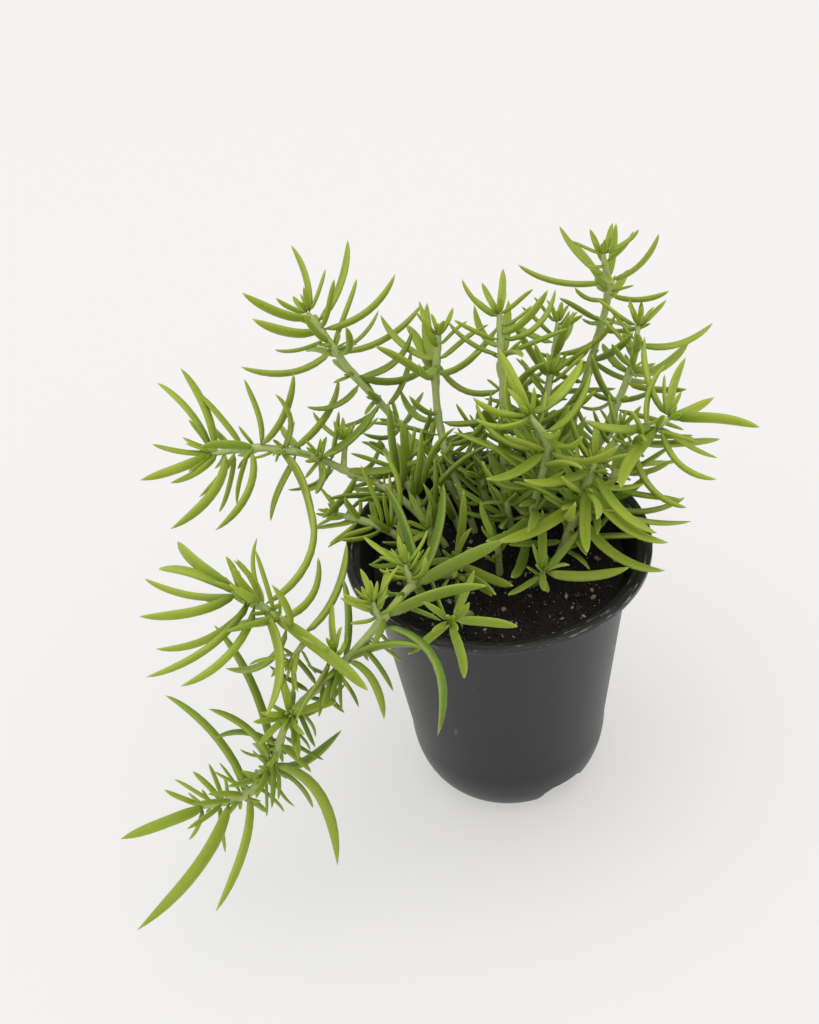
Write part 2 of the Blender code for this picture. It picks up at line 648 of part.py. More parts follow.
def main():
    for old in list(bpy.data.objects):
        bpy.data.objects.remove(old)
    parts = bpy.data.collections.new("potted_sedum")
    notches = bpy.data.collections.new("notch_cutters")
    holes = bpy.data.collections.new("hole_cutters")
    for collection in (parts, notches, holes):
        bpy.context.scene.collection.children.link(collection)
    plastic = make_material("black_plastic", (0.028, 0.029, 0.031), 0.42)
    earth = make_material("potting_soil", (0.022, 0.015, 0.011), 0.95)
    foliage = make_material("sedum_leaf", (0.22, 0.36, 0.055), 0.45)
    make_pot(parts, notches).data.materials.append(plastic)
    make_soil(parts, holes).data.materials.append(earth)
    lines = {shoot.name: shoot_line(shoot) for shoot in SHOOTS}
    leaves = lay_out_leaves(lines)
    for node in dict.fromkeys(shoot.node for shoot in SHOOTS):
        stem = make_leafy_stem(node, lines, leaves, parts)
        stem.data.materials.clear()
        stem.data.materials.append(foliage)


main()
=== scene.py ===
# %% [markdown]
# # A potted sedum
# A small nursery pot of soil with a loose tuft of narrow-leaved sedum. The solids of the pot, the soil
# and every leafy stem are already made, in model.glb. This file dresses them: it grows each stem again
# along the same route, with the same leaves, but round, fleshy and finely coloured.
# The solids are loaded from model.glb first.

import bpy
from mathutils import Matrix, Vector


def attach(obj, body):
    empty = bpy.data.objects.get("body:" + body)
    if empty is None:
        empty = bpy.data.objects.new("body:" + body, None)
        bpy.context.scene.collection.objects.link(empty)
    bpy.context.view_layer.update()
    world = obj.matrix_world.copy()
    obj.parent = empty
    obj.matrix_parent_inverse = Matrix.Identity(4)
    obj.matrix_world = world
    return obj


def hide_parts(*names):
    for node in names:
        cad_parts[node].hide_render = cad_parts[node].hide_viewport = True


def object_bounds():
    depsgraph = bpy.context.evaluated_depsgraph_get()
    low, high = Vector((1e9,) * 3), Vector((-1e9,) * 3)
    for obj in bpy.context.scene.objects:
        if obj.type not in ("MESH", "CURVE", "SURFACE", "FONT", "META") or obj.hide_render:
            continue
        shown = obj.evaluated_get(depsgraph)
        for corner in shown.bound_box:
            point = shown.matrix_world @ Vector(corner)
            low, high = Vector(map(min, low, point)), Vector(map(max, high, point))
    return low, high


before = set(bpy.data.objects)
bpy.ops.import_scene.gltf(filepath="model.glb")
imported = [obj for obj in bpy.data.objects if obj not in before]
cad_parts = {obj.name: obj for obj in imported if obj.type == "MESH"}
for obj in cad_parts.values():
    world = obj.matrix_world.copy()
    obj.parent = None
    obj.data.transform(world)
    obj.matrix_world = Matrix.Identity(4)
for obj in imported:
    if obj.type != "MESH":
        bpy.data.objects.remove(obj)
cad_low, cad_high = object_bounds()
print("solids:", len(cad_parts), "box in mm:", [round(1000 * side) for side in cad_high - cad_low])

# %% What the rest of the file uses
import math
import random
from collections import namedtuple

import bmesh
import bpy
from mathutils import Quaternion, Vector, noise

MM = 0.001
scene = bpy.context.scene

# %% [markdown]
# ## Camera
# The photograph was taken by hand from above and in front, about half a metre away, and the camera was
# held a little crooked. So this camera is placed by its own position and turn, and it isn't aimed at the
# middle of the pot: the pot stands low and to the right in the picture.

# %% Camera
CAMERA_PLACE = Vector((0, -382.2, 406.2)) * MM
CAMERA_TURN = (50.365, 4.381, -0.313)  # degrees about X, Y and Z
FOCAL_LENGTH = 67.97  # mm
SENSOR_SIDE = 36  # mm, the longer side
NEAREST_SEEN = 0.01  # metres

camera = bpy.data.objects.new("camera", bpy.data.cameras.new("camera"))
scene.collection.objects.link(camera)
scene.camera = camera
camera.location = CAMERA_PLACE
camera.rotation_euler = [math.radians(angle) for angle in CAMERA_TURN]
camera.data.lens = FOCAL_LENGTH
camera.data.sensor_fit = "AUTO"
camera.data.sensor_width = SENSOR_SIDE
camera.data.clip_start = NEAREST_SEEN
print("camera distance in mm:", round(CAMERA_PLACE.length / MM))

# %% [markdown]
# ## Nodes as expressions
# Materials and growth rules are both made of nodes, and most of those nodes are arithmetic. A long chain
# of Math nodes is hard to read, so a small class wraps a socket and lets Python's own operators add the
# nodes: `1 - mask * 0.5` becomes two Math nodes. Everything that isn't arithmetic goes through one
# method, `add`, which takes the node's type, its settings and what its sockets get.

# %% Operators on sockets
def holds_vector(part):
    if isinstance(part, Value):
        return part.socket.type == "VECTOR"
    return isinstance(part, (tuple, Vector))


class Value:
    """One output socket. An operator on it adds the Math or Vector Math node that works it out."""

    def __init__(self, wires, socket):
        self.wires = wires
        self.socket = socket

    def join(self, operation, left, right):
        vectors = [holds_vector(left), holds_vector(right)]
        if all(vectors):
            return self.wires.vector_math(operation, left, right)
        if any(vectors):
            vector, number = (left, right) if vectors[0] else (right, left)
            return self.wires.add(
                "ShaderNodeVectorMath", {"operation": "SCALE"}, {0: vector, "Scale": number})
        return self.wires.math(operation, left, right)

    def __add__(self, other):
        return self.join("ADD", self, other)

    def __radd__(self, other):
        return self.join("ADD", other, self)

    def __sub__(self, other):
        return self.join("SUBTRACT", self, other)

    def __rsub__(self, other):
        return self.join("SUBTRACT", other, self)

    def __mul__(self, other):
        return self.join("MULTIPLY", self, other)

    def __rmul__(self, other):
        return self.join("MULTIPLY", other, self)

    def __truediv__(self, other):
        return self.join("DIVIDE", self, other)

    def __pow__(self, other):
        return self.join("POWER", self, other)


print("Python's operators work on sockets")

# %% Adding nodes to a tree
class Wires:
    """Adds nodes to one node tree."""

    def __init__(self, tree):
        self.tree = tree

    def put(self, target, given):
        if isinstance(given, Value):
            self.tree.links.new(given.socket, target)
        else:
            target.default_value = given

    def add(self, kind, settings=None, sockets=None, output=0):
        """Add a node: first its settings, then what its sockets get. Gives one of its outputs."""
        node = self.tree.nodes.new(kind)
        for name, setting in (settings or {}).items():
            setattr(node, name, setting)
        for name, given in (sockets or {}).items():
            self.put(node.inputs[name], given)
        return Value(self, node.outputs[output])

    def math(self, operation, *values):
        return self.add("ShaderNodeMath", {"operation": operation}, dict(enumerate(values)))

    def vector_math(self, operation, *vectors):
        return self.add("ShaderNodeVectorMath", {"operation": operation}, dict(enumerate(vectors)))

    def join_axes(self, x, y, z):
        return self.add("ShaderNodeCombineXYZ", {}, {0: x, 1: y, 2: z})

    def split_axes(self, vector):
        """The three numbers of a vector."""
        node = self.tree.nodes.new("ShaderNodeSeparateXYZ")
        self.put(node.inputs[0], vector)
        return [Value(self, output) for output in node.outputs]

    def ease(self, value, start, end):
        """0 before start, 1 after end and smooth between them. Start may be the larger of the two."""
        return self.add(
            "ShaderNodeMapRange", {"interpolation_type": "SMOOTHSTEP"},
            {"Value": value, "From Min": start, "From Max": end})

    def mix(self, factor, first, second):
        """A colour between two colours."""
        node = self.tree.nodes.new("ShaderNodeMix")
        node.data_type = "RGBA"
        for index, given in ((0, factor), (6, first), (7, second)):
            if isinstance(given, tuple):
                given = (*given, 1)
            self.put(node.inputs[index], given)
        return Value(self, node.outputs[2])

    def coated(self, base, *coats):
        """A colour with coats over it, the last one on top. Each is a mask and a colour."""
        for mask, colour in coats:
            base = self.mix(mask, base, colour)
        return base


print("nodes can be added to a tree")

# %% [markdown]
# ## Studio
# The plant was photographed in even, diffuse light on a pale ground, with almost no shadow. A bright
# world gives that evenness, and the floor glows a little itself, so the shadow under the pot stays light.
# One large soft lamp, high above and slightly to the left, gives the leaves their form. Blender's
# Standard view keeps the plastic's greys and the yellow-greens as they were measured.

# %% Floor and light
FLOOR_SIDE = 6  # metres
FLOOR_COLOUR = (0.45, 0.445, 0.44)
FLOOR_GLOW = 0.45  # the light that comes through the pale ground from below
FLOOR_GLOW_COLOUR = (1, 0.99, 0.98)
WORLD_COLOUR = (1, 0.995, 0.985)
WORLD_STRENGTH = 0.84
LAMP_POWER = 3.4  # watts
LAMP_PLACE = Vector((-90, 40, 1200)) * MM
LAMP_AIM = Vector((0, 0, 0.06))
LAMP_SIZE = 1.1  # metres

scene.view_settings.view_transform = "Standard"
world = bpy.data.worlds.new("studio")
scene.world = world
world.use_nodes = True
background = world.node_tree.nodes["Background"].inputs
background["Color"].default_value = (*WORLD_COLOUR, 1)
background["Strength"].default_value = WORLD_STRENGTH

lamp = bpy.data.objects.new("lamp", bpy.data.lights.new("lamp", "AREA"))
scene.collection.objects.link(lamp)
lamp.data.energy = LAMP_POWER
lamp.data.size = LAMP_SIZE
lamp.location = LAMP_PLACE
lamp.rotation_euler = (LAMP_AIM - LAMP_PLACE).to_track_quat("-Z", "Y").to_euler()

bpy.ops.mesh.primitive_plane_add(size=FLOOR_SIDE)
floor = bpy.context.object
floor.name = "studio_floor"
print("floor and lamp placed")

# %% Materials are all started the same way
def new_material(name, **constants):
    """A material and the wires of its tree. Constants are set on the shader's own sockets."""
    material = bpy.data.materials.new(name)
    material.use_nodes = True
    wires = Wires(material.node_tree)
    shader = material.node_tree.nodes["Principled BSDF"]
    for label, value in constants.items():
        shader.inputs[label.replace("_", " ")].default_value = value
    return material, wires, shader.inputs


def noise_of(wires, scale, detail=3, stretch=(1, 1, 1)):
    """Noise on the object's own coordinates, from 0 to 1. Scale is in cells to the metre."""
    place = wires.add("ShaderNodeTexCoord", output="Object") * Vector(stretch)
    return wires.add(
        "ShaderNodeTexNoise", {}, {"Vector": place, "Scale": scale, "Detail": detail}, "Fac")


def bump(wires, inputs, height, depth, strength=1.0):
    """Let a height, from 0 to 1 over a depth in metres, tilt the surface's normal."""
    wires.put(inputs["Normal"], wires.add(
        "ShaderNodeBump", {}, {"Height": height, "Distance": depth, "Strength": strength}))


paper, *_ = new_material(
    "pale_paper", Roughness=0.9, Base_Color=(*FLOOR_COLOUR, 1),
    Emission_Color=(*FLOOR_GLOW_COLOUR, 1), Emission_Strength=FLOOR_GLOW)
floor.data.materials.append(paper)
print("materials so far:", [material.name for material in bpy.data.materials if material.users])

# %% [markdown]
# ## The pot
# A nursery pot is thermoformed or moulded from thin polypropylene: a stepped rim with a rolled lip, a
# tapering wall, a round bottom corner and notches that let water out. Every section through its axis is
# the same, so it is one profile turned round Z by a Screw modifier, with many more steps than the solid
# has and with small radii at the rim, where the light draws its fine bright lines. The three notches are
# then cut out of the bottom corner with a Boolean, and a Bevel softens what is left sharp.

# %% Pot sizes, in mm
RIM_RADIUS = 40.0
POT_HEIGHT = 78.0
WALL = 1.1
FLOOR = 1.3
THROAT_RADIUS = 33.7  # inside of the wall, where it meets the rim
THROAT_DROP = 4.5
RIM_PROFILE = (  # mm in from the rim's edge and down from the top, from the throat over the crown
    (3.8, 0.7), (2.3, 0.4), (2.0, 0), (0, 0), (0, 1.6), (3.6, 2.0), (5.4, 3.2))
COLLAR = ((34.45, 4.0), (34.05, 7.0))  # radius and mm down from the top, just under the rim's flange
SHOULDER_RADIUS = 26.9
SHOULDER_HEIGHT = 19.0
BASE_RADIUS = 17.5
NOTCH_BEARINGS = (66, 186, 306)
NOTCH_TOP = 8.5
NOTCH_WIDTH = 15.0
NOTCH_INNER_RADIUS = 15.5
NOTCH_OUTLINE = (  # shares of half its width to both sides, and of its height
    (-1, -1), (1, -1), (1, 0.35), (0.88, 0.8), (0.6, 1), (-0.6, 1), (-0.88, 0.8), (-1, 0.35))
POT_STEPS = 160
CORNER_POINTS = 14
LIP_ROUNDING = 0.28
print("pot:", 2 * RIM_RADIUS, "mm across its rim and", POT_HEIGHT, "mm high")

# %% Turned shapes
def link(name, mesh):
    made = bpy.data.objects.new(name, mesh)
    scene.collection.objects.link(made)
    return made


def apply_modifiers(made):
    """Give an object the mesh that its modifiers evaluate to, with its attributes."""
    graph = bpy.context.evaluated_depsgraph_get()
    graph.update()
    made.data = bpy.data.meshes.new_from_object(
        made.evaluated_get(graph), preserve_all_data_layers=True, depsgraph=graph)
    made.modifiers.clear()


def turned(name, profile, steps):
    """A closed shape turned round Z from (radius, height) points in mm that end down the outer side."""
    mesh = bpy.data.meshes.new(name)
    points = [(radius * MM, 0, height * MM) for radius, height in profile]
    mesh.from_pydata(points, [(i, i + 1) for i in range(len(points) - 1)], [])
    made = link(name, mesh)
    screw = made.modifiers.new("turn", "SCREW")
    screw.steps = steps
    screw.render_steps = steps
    screw.use_merge_vertices = True
    screw.merge_threshold = 0.01 * MM
    apply_modifiers(made)
    return made


print("helpers for turned shapes are ready")

# %% The pot's profile
MOST_CUT = 0.45  # of an edge's length, that a rounding may take at either end


def round_corner(radius, height, inset, rise, count):
    """Points of the quarter ellipse from the wall's foot at the shoulder down to the flat base."""
    angles = [math.pi / 2 * i / count for i in range(count + 1)]
    return [(radius + inset * math.cos(a), height + rise * (1 - math.sin(a))) for a in angles]


def inner_wall(count):
    """The pot's inside from its floor up to the shoulder."""
    return round_corner(
        BASE_RADIUS, FLOOR, SHOULDER_RADIUS - WALL - BASE_RADIUS, SHOULDER_HEIGHT - FLOOR, count)[::-1]


def wall_radius(height):
    """Radius of the pot's inside at a height above the shoulder."""
    share = (height - SHOULDER_HEIGHT) / (POT_HEIGHT - THROAT_DROP - SHOULDER_HEIGHT)
    foot = SHOULDER_RADIUS - WALL
    return foot + share * (THROAT_RADIUS - foot)


def rounded(profile, radius, count=3):
    """The profile with each inner corner replaced by a short curve that starts a radius before it."""
    points = [Vector(point) for point in profile]
    smooth = [points[0]]
    for before, corner, after in zip(points, points[1:], points[2:]):
        cut = min(radius, MOST_CUT * (before - corner).length, MOST_CUT * (after - corner).length)
        start = corner + cut * (before - corner).normalized()
        end = corner + cut * (after - corner).normalized()
        for i in range(count + 1):
            t = i / count
            smooth.append(start * (1 - t) ** 2 + corner * 2 * t * (1 - t) + end * t * t)
    return [tuple(point) for point in smooth + [points[-1]]]


crown = [(THROAT_RADIUS, POT_HEIGHT - THROAT_DROP)]
crown += [(RIM_RADIUS - inset, POT_HEIGHT - drop) for inset, drop in RIM_PROFILE]
crown += [(radius, POT_HEIGHT - drop) for radius, drop in COLLAR]
outside = round_corner(BASE_RADIUS, 0, SHOULDER_RADIUS - BASE_RADIUS, SHOULDER_HEIGHT, CORNER_POINTS)
inside = [(0, FLOOR)] + inner_wall(CORNER_POINTS)
pot = turned("nursery_pot", inside + rounded(crown, LIP_ROUNDING) + outside + [(0, 0)], POT_STEPS)
print("pot profile turned:", len(pot.data.polygons), "faces")

# %% The drainage notches
EDGE_SOFTENING = 0.18  # mm
SOFTENED_FROM = 50  # degrees between two faces
SHARP_FROM = 38


def mesh_from(name, shape):
    """The mesh of a shape that was built corner by corner."""
    mesh = bpy.data.meshes.new(name)
    shape.to_mesh(mesh)
    shape.free()
    return mesh


def notch_cutter(bearing):
    """A block with rounded upper corners that reaches through the pot's bottom corner."""
    shape = bmesh.new()
    ends = []
    for radius in (NOTCH_INNER_RADIUS, RIM_RADIUS):
        ends.append([
            shape.verts.new(Vector((radius, across * NOTCH_WIDTH / 2, up * NOTCH_TOP)) * MM)
            for across, up in NOTCH_OUTLINE])
    for i in range(len(NOTCH_OUTLINE)):
        j = (i + 1) % len(NOTCH_OUTLINE)
        shape.faces.new((ends[0][i], ends[0][j], ends[1][j], ends[1][i]))
    shape.faces.new(ends[0])
    shape.faces.new(ends[1])
    bmesh.ops.recalc_face_normals(shape, faces=shape.faces)
    turn = Quaternion((0, 0, 1), math.radians(bearing))
    bmesh.ops.transform(shape, matrix=turn.to_matrix().to_4x4(), verts=shape.verts)
    return mesh_from(f"notch_{bearing}", shape)


cutters = [link(f"notch_{bearing}", notch_cutter(bearing)) for bearing in NOTCH_BEARINGS]
for cutter in cutters:
    cut = pot.modifiers.new("notch", "BOOLEAN")
    cut.operation = "DIFFERENCE"
    cut.object = cutter
soften = pot.modifiers.new("soften", "BEVEL")
soften.width = EDGE_SOFTENING * MM
soften.segments = 2
soften.limit_method = "ANGLE"
soften.angle_limit = math.radians(SOFTENED_FROM)
soften.use_clamp_overlap = True
apply_modifiers(pot)
for cutter in cutters:
    bpy.data.objects.remove(cutter)
pot.data.shade_smooth()
pot.data.set_sharp_from_angle(angle=math.radians(SHARP_FROM))
print("pot with its notches:", len(pot.data.polygons), "faces")

# %% [markdown]
# The plastic is black and reads as a very dark grey. It is satin: it mirrors the pale room only where it
# is seen at a slant, which is why the wall is lighter at both sides. Its surface has a faint moulded
# texture, a few pale rubs from handling and a trace of dust. The rim is a little glossier where the mould
# was polished, and fine scratches run round it.

# %% Black plastic
RIM_FINISH = (73.5, 74.5)  # mm up, where the wall's finish turns into the rim's
SCRATCHED = (36.2, 37.2)  # mm out, where the rim's scratches begin
SCRATCH_STRETCH = 9  # how many times longer than wide they are

plastic, wires, inputs = new_material("satin_black_plastic", IOR=1.5)
x, y, z = wires.split_axes(wires.add("ShaderNodeTexCoord", output="Object"))
near_rim = wires.ease(z, RIM_FINISH[0] * MM, RIM_FINISH[1] * MM)
cloud = noise_of(wires, 38, 4)
grain = noise_of(wires, 2600, 2)
rubs = wires.ease(noise_of(wires, 210, 4, (1, 1, 0.35)), 0.75, 0.8) * 0.5
dust = wires.ease(noise_of(wires, 950, 3), 0.72, 0.8) * wires.ease(cloud, 0.4, 0.6)
round_rim = wires.math("ARCTAN2", y, x) * (RIM_RADIUS * MM)
out = wires.math("SQRT", x * x + y * y)
along_rim = wires.join_axes(round_rim, out * SCRATCH_STRETCH, z * SCRATCH_STRETCH)
streaks = wires.add("ShaderNodeTexNoise", {}, {"Vector": along_rim, "Scale": 230, "Detail": 4}, "Fac")
scratches = wires.ease(streaks, 0.6, 0.7) * near_rim
scratches = scratches * wires.ease(out, SCRATCHED[0] * MM, SCRATCHED[1] * MM)
wires.put(inputs["Base Color"], wires.coated(
    wires.mix(cloud, (0.0075, 0.0075, 0.009), (0.0125, 0.0125, 0.014)),
    (near_rim, (0.011, 0.011, 0.0125)),
    (rubs, (0.16, 0.16, 0.16)),
    (scratches * 0.7, (0.33, 0.33, 0.34)),
    (dust * 0.25, (0.24, 0.22, 0.2))))
wires.put(inputs["Roughness"], 0.33 - near_rim * 0.08 + cloud * 0.08 + dust * 0.2 + scratches * 0.3)
bump(wires, inputs, grain + cloud * 0.6 - rubs * 0.4 - scratches, 0.00004, 0.7)
pot.data.materials.clear()
pot.data.materials.append(plastic)
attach(pot, "root")
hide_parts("pot")
print("pot dressed in", plastic.name)

# %% [markdown]
# ## The soil
# Potting soil is a bed of dark peat, with crumbs, splinters of bark and white grains of perlite lying on
# it. The bed is one turned body that fills the pot. Its top has many rings, and each of their points is
# moved up or down by noise of three sizes, so it looks heaped and settled and not combed.

# %% Soil bed
SOIL_TOP = 71.5
FIT_GAP = 0.35
SOIL_STEPS = 150
SOIL_RINGS = 48
SOIL_CORNER_POINTS = 6
LUMPS = ((90, 0.8), (330, 0.55), (1100, 0.28))  # cells to the metre, and how high in mm
WALL_LUMPS = 0.35  # how high they still are at the wall, as a share
WALL_SETTLING = 6  # a larger number keeps that to a narrower ring

soil_radius = wall_radius(SOIL_TOP) - FIT_GAP
bed_floor = FLOOR + FIT_GAP
surface = [(soil_radius * i / SOIL_RINGS, SOIL_TOP) for i in range(SOIL_RINGS + 1)]
corner = inner_wall(SOIL_CORNER_POINTS)[::-1]
*wall, (foot, _) = [(radius - FIT_GAP, height) for radius, height in corner]
bed = turned("soil_bed", surface + wall + [(foot, bed_floor), (0, bed_floor)], SOIL_STEPS)


def soil_height(x, y):
    """Height of the soil in mm at a place in mm. Its lumps are lower near the wall."""
    place = Vector((x, y, 0)) * MM
    lumps = sum(high * noise.noise(place * cells) for cells, high in LUMPS)
    openness = 1 - (math.hypot(x, y) / soil_radius) ** WALL_SETTLING
    return SOIL_TOP + lumps * (WALL_LUMPS + (1 - WALL_LUMPS) * openness)


for vertex in bed.data.vertices:
    if vertex.co.z > (SOIL_TOP - 0.01) * MM:
        vertex.co.z = soil_height(vertex.co.x / MM, vertex.co.y / MM) * MM
bed.data.shade_smooth()
print("soil bed:", len(bed.data.polygons), "faces")

# %% Soil material
def earth_material(name, dark, light, scale, roughness):
    """Crumbs of two colours, with more of the light one in some patches than in others."""
    material, wires, inputs = new_material(name, Roughness=roughness)
    crumbs = noise_of(wires, scale, 5)
    patches = noise_of(wires, scale / 7, 2)
    wires.put(inputs["Base Color"], wires.mix(wires.ease(crumbs, 0.35, 0.75) * patches, dark, light))
    bump(wires, inputs, crumbs, 0.0006)
    return material


peat = earth_material("dark_peat", (0.003, 0.0022, 0.002), (0.02, 0.013, 0.01), 1500, 0.95)
bed.data.materials.append(peat)
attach(bed, "root")
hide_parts("soil")
print("soil bed dressed in", peat.name)

# %% [markdown]
# ## Crumbs, bark and perlite
# What lies on the soil repeats hundreds of times with a different size and turn each time. That is work
# for Geometry Nodes: points are scattered over a surface, a small stone is put on each, the stones are
# squeezed and turned at random, made real, and then pushed about by noise, so that no two are alike. One
# tree makes all four kinds, because its inputs set how many, how large and how long they are.

# %% Growing with Geometry Nodes
def new_growth(name, inputs):
    """A Geometry Nodes tree with named inputs, each a socket type and a first value."""
    tree = bpy.data.node_groups.new(name, "GeometryNodeTree")
    tree.is_modifier = True
    tree.interface.new_socket("Geometry", in_out="INPUT", socket_type="NodeSocketGeometry")
    tree.interface.new_socket("Geometry", in_out="OUTPUT", socket_type="NodeSocketGeometry")
    for label, (kind, value) in inputs.items():
        socket = tree.interface.new_socket(label, in_out="INPUT", socket_type=f"NodeSocket{kind}")
        if value is not None:
            socket.default_value = value
    source = tree.nodes.new("NodeGroupInput")
    wires = Wires(tree)
    given = {output.name: Value(wires, output) for output in source.outputs if output.name}
    return wires, given


def end_growth(wires, geometry):
    """Make the result real and send it out of the tree."""
    real = wires.add("GeometryNodeRealizeInstances", {}, {0: geometry})
    wires.tree.links.new(real.socket, wires.tree.nodes.new("NodeGroupOutput").inputs[0])


def grown(name, start, tree, values):
    """A new object with the mesh that a tree grows from a start mesh."""
    made = link(name, start)
    modifier = made.modifiers.new("growth", "NODES")
    modifier.node_group = tree
    for item in tree.interface.items_tree:
        if item.name in values:
            modifier[item.identifier] = values[item.name]
    apply_modifiers(made)
    return made


def random_number(wires, low, high, seed):
    return wires.add(
        "FunctionNodeRandomValue", {"data_type": "FLOAT"}, {2: low, 3: high, "Seed": seed}, 1)


print("growth helpers are ready")

# %% The tree that scatters grains
SQUARE_METRE = 1e6  # in square millimetres


def grain_tree():
    wires, given = new_growth("scattered_grains", {
        "Density": ("Float", 1.0),  # grains to the square millimetre
        "Smallest": ("Float", 0.3),  # mm across
        "Largest": ("Float", 0.9),
        "Stretch": ("Float", 1.0),  # how many times longer than wide
        "Fineness": ("Int", 1),  # 1 gives a stone of 20 faces, 2 one of 80
        "Seed": ("Int", 1),
        "Material": ("Material", None)})
    seed = given["Seed"]
    scatter = wires.add(
        "GeometryNodeDistributePointsOnFaces", {"distribute_method": "RANDOM"},
        {"Mesh": given["Geometry"], "Density": given["Density"] * SQUARE_METRE, "Seed": seed})
    stone = wires.add("GeometryNodeMeshIcoSphere", {}, {
        "Radius": 0.5 * MM, "Subdivisions": given["Fineness"]})
    size = random_number(wires, given["Smallest"], given["Largest"], seed)
    length = size * given["Stretch"] * random_number(wires, 0.6, 1.4, seed + 1)
    width = size * random_number(wires, 0.6, 1.0, seed + 2)
    height = size * random_number(wires, 0.4, 0.9, seed + 3)
    turn = wires.join_axes(
        random_number(wires, -0.5, 0.5, seed + 4), random_number(wires, -0.5, 0.5, seed + 5),
        random_number(wires, 0.0, math.tau, seed + 6))
    grains = wires.add("GeometryNodeInstanceOnPoints", {}, {
        "Points": scatter, "Instance": stone, "Rotation": turn,
        "Scale": wires.join_axes(length, width, height)})
    real = wires.add("GeometryNodeRealizeInstances", {}, {0: grains})
    place = wires.add("GeometryNodeInputPosition")
    rough = wires.add("ShaderNodeTexNoise", {}, {"Vector": place, "Scale": 1400, "Detail": 1}, "Color")
    rough = wires.vector_math("SUBTRACT", rough, (0.5, 0.5, 0.5))
    moved = wires.add("GeometryNodeSetPosition", {}, {
        0: real, "Offset": rough * (given["Largest"] * 0.5 * MM)})
    end_growth(wires, wires.add("GeometryNodeSetMaterial", {}, {0: moved, "Material": given["Material"]}))
    return wires.tree


grain_growth = grain_tree()
print("grain tree:", len(grain_growth.nodes), "nodes")

# %% Where grains may lie
PATCH_RINGS = 12
PATCH_STEPS = 48
PATCH_HOLE = 0.5  # mm, at the middle of the soil
WALL_MARGIN = 1.6  # mm, so that no grain stands in the wall
STRETCH_MARGIN = 0.3  # mm more for each time that a grain is longer than wide


def soil_patch(name, inner, outer, rise):
    """A ring of the soil's surface in mm, raised a little, that grains are scattered on."""
    shape = bmesh.new()
    rings = []
    for i in range(PATCH_RINGS + 1):
        radius = inner + (outer - inner) * i / PATCH_RINGS
        ring = []
        for j in range(PATCH_STEPS):
            angle = math.tau * j / PATCH_STEPS
            x, y = radius * math.cos(angle), radius * math.sin(angle)
            ring.append(shape.verts.new(Vector((x, y, soil_height(x, y) + rise)) * MM))
        rings.append(ring)
    for low, high in zip(rings, rings[1:]):
        for j in range(PATCH_STEPS):
            k = (j + 1) % PATCH_STEPS
            shape.faces.new((low[j], high[j], high[k], low[k]))
    return mesh_from(name, shape)


crumb_material = earth_material("peat_crumb", (0.003, 0.0025, 0.002), (0.035, 0.022, 0.016), 900, 0.95)
bark_material = earth_material("bark_splinter", (0.012, 0.008, 0.006), (0.1, 0.058, 0.036), 1200, 0.8)
perlite_material = earth_material("perlite", (0.25, 0.22, 0.12), (0.62, 0.58, 0.38), 1800, 0.85)
GRAIN_INPUTS = ("Material", "Density", "Smallest", "Largest", "Stretch", "Fineness", "Seed")
GRAINS = (  # name, mm that they stand out of the soil, and the tree's inputs
    ("soil_crumbs", 0.05, crumb_material, 1.1, 0.35, 1.3, 1.1, 1, 3),
    ("bark_splinters", 0.3, bark_material, 0.05, 0.3, 0.75, 4.5, 2, 11),
    ("perlite_grains", 0.3, perlite_material, 0.022, 0.5, 1.4, 1.1, 2, 23),
    ("perlite_dust", 0.45, perlite_material, 0.09, 0.2, 0.6, 1.2, 1, 37))
for name, rise, *row in GRAINS:
    values = dict(zip(GRAIN_INPUTS, row))
    margin = WALL_MARGIN + values["Stretch"] * STRETCH_MARGIN
    grains = grown(name, soil_patch(name, PATCH_HOLE, soil_radius - margin, rise), grain_growth, values)
    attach(grains, "root")
    print(name, len(grains.data.polygons), "faces")

# %% [markdown]
# ## Where the stems run
# Each stem rises from the soil, leans towards the light and, if it is long, hangs over the rim. Its route
# is a short list of places, from the soil to the tip, in mm. A smooth curve through them is the stem's
# centre line. A branch starts on its parent's route, and the two share one piece.

# %% Routes
Shoot = namedtuple("Shoot", "name node planted bearing leaf_length whorls route")


def own_stem(name, bearing, leaf_length, whorls, *route):
    """A stem planted in the soil. Its first leaf stands at the bearing round it, in degrees."""
    return Shoot(name, f"{name}_stem", True, bearing, leaf_length, whorls, route)


def side_shoot(stem, name, bearing, leaf_length, whorls, *route):
    return Shoot(f"{stem}_{name}", f"{stem}_stem", False, bearing, leaf_length, whorls, route)


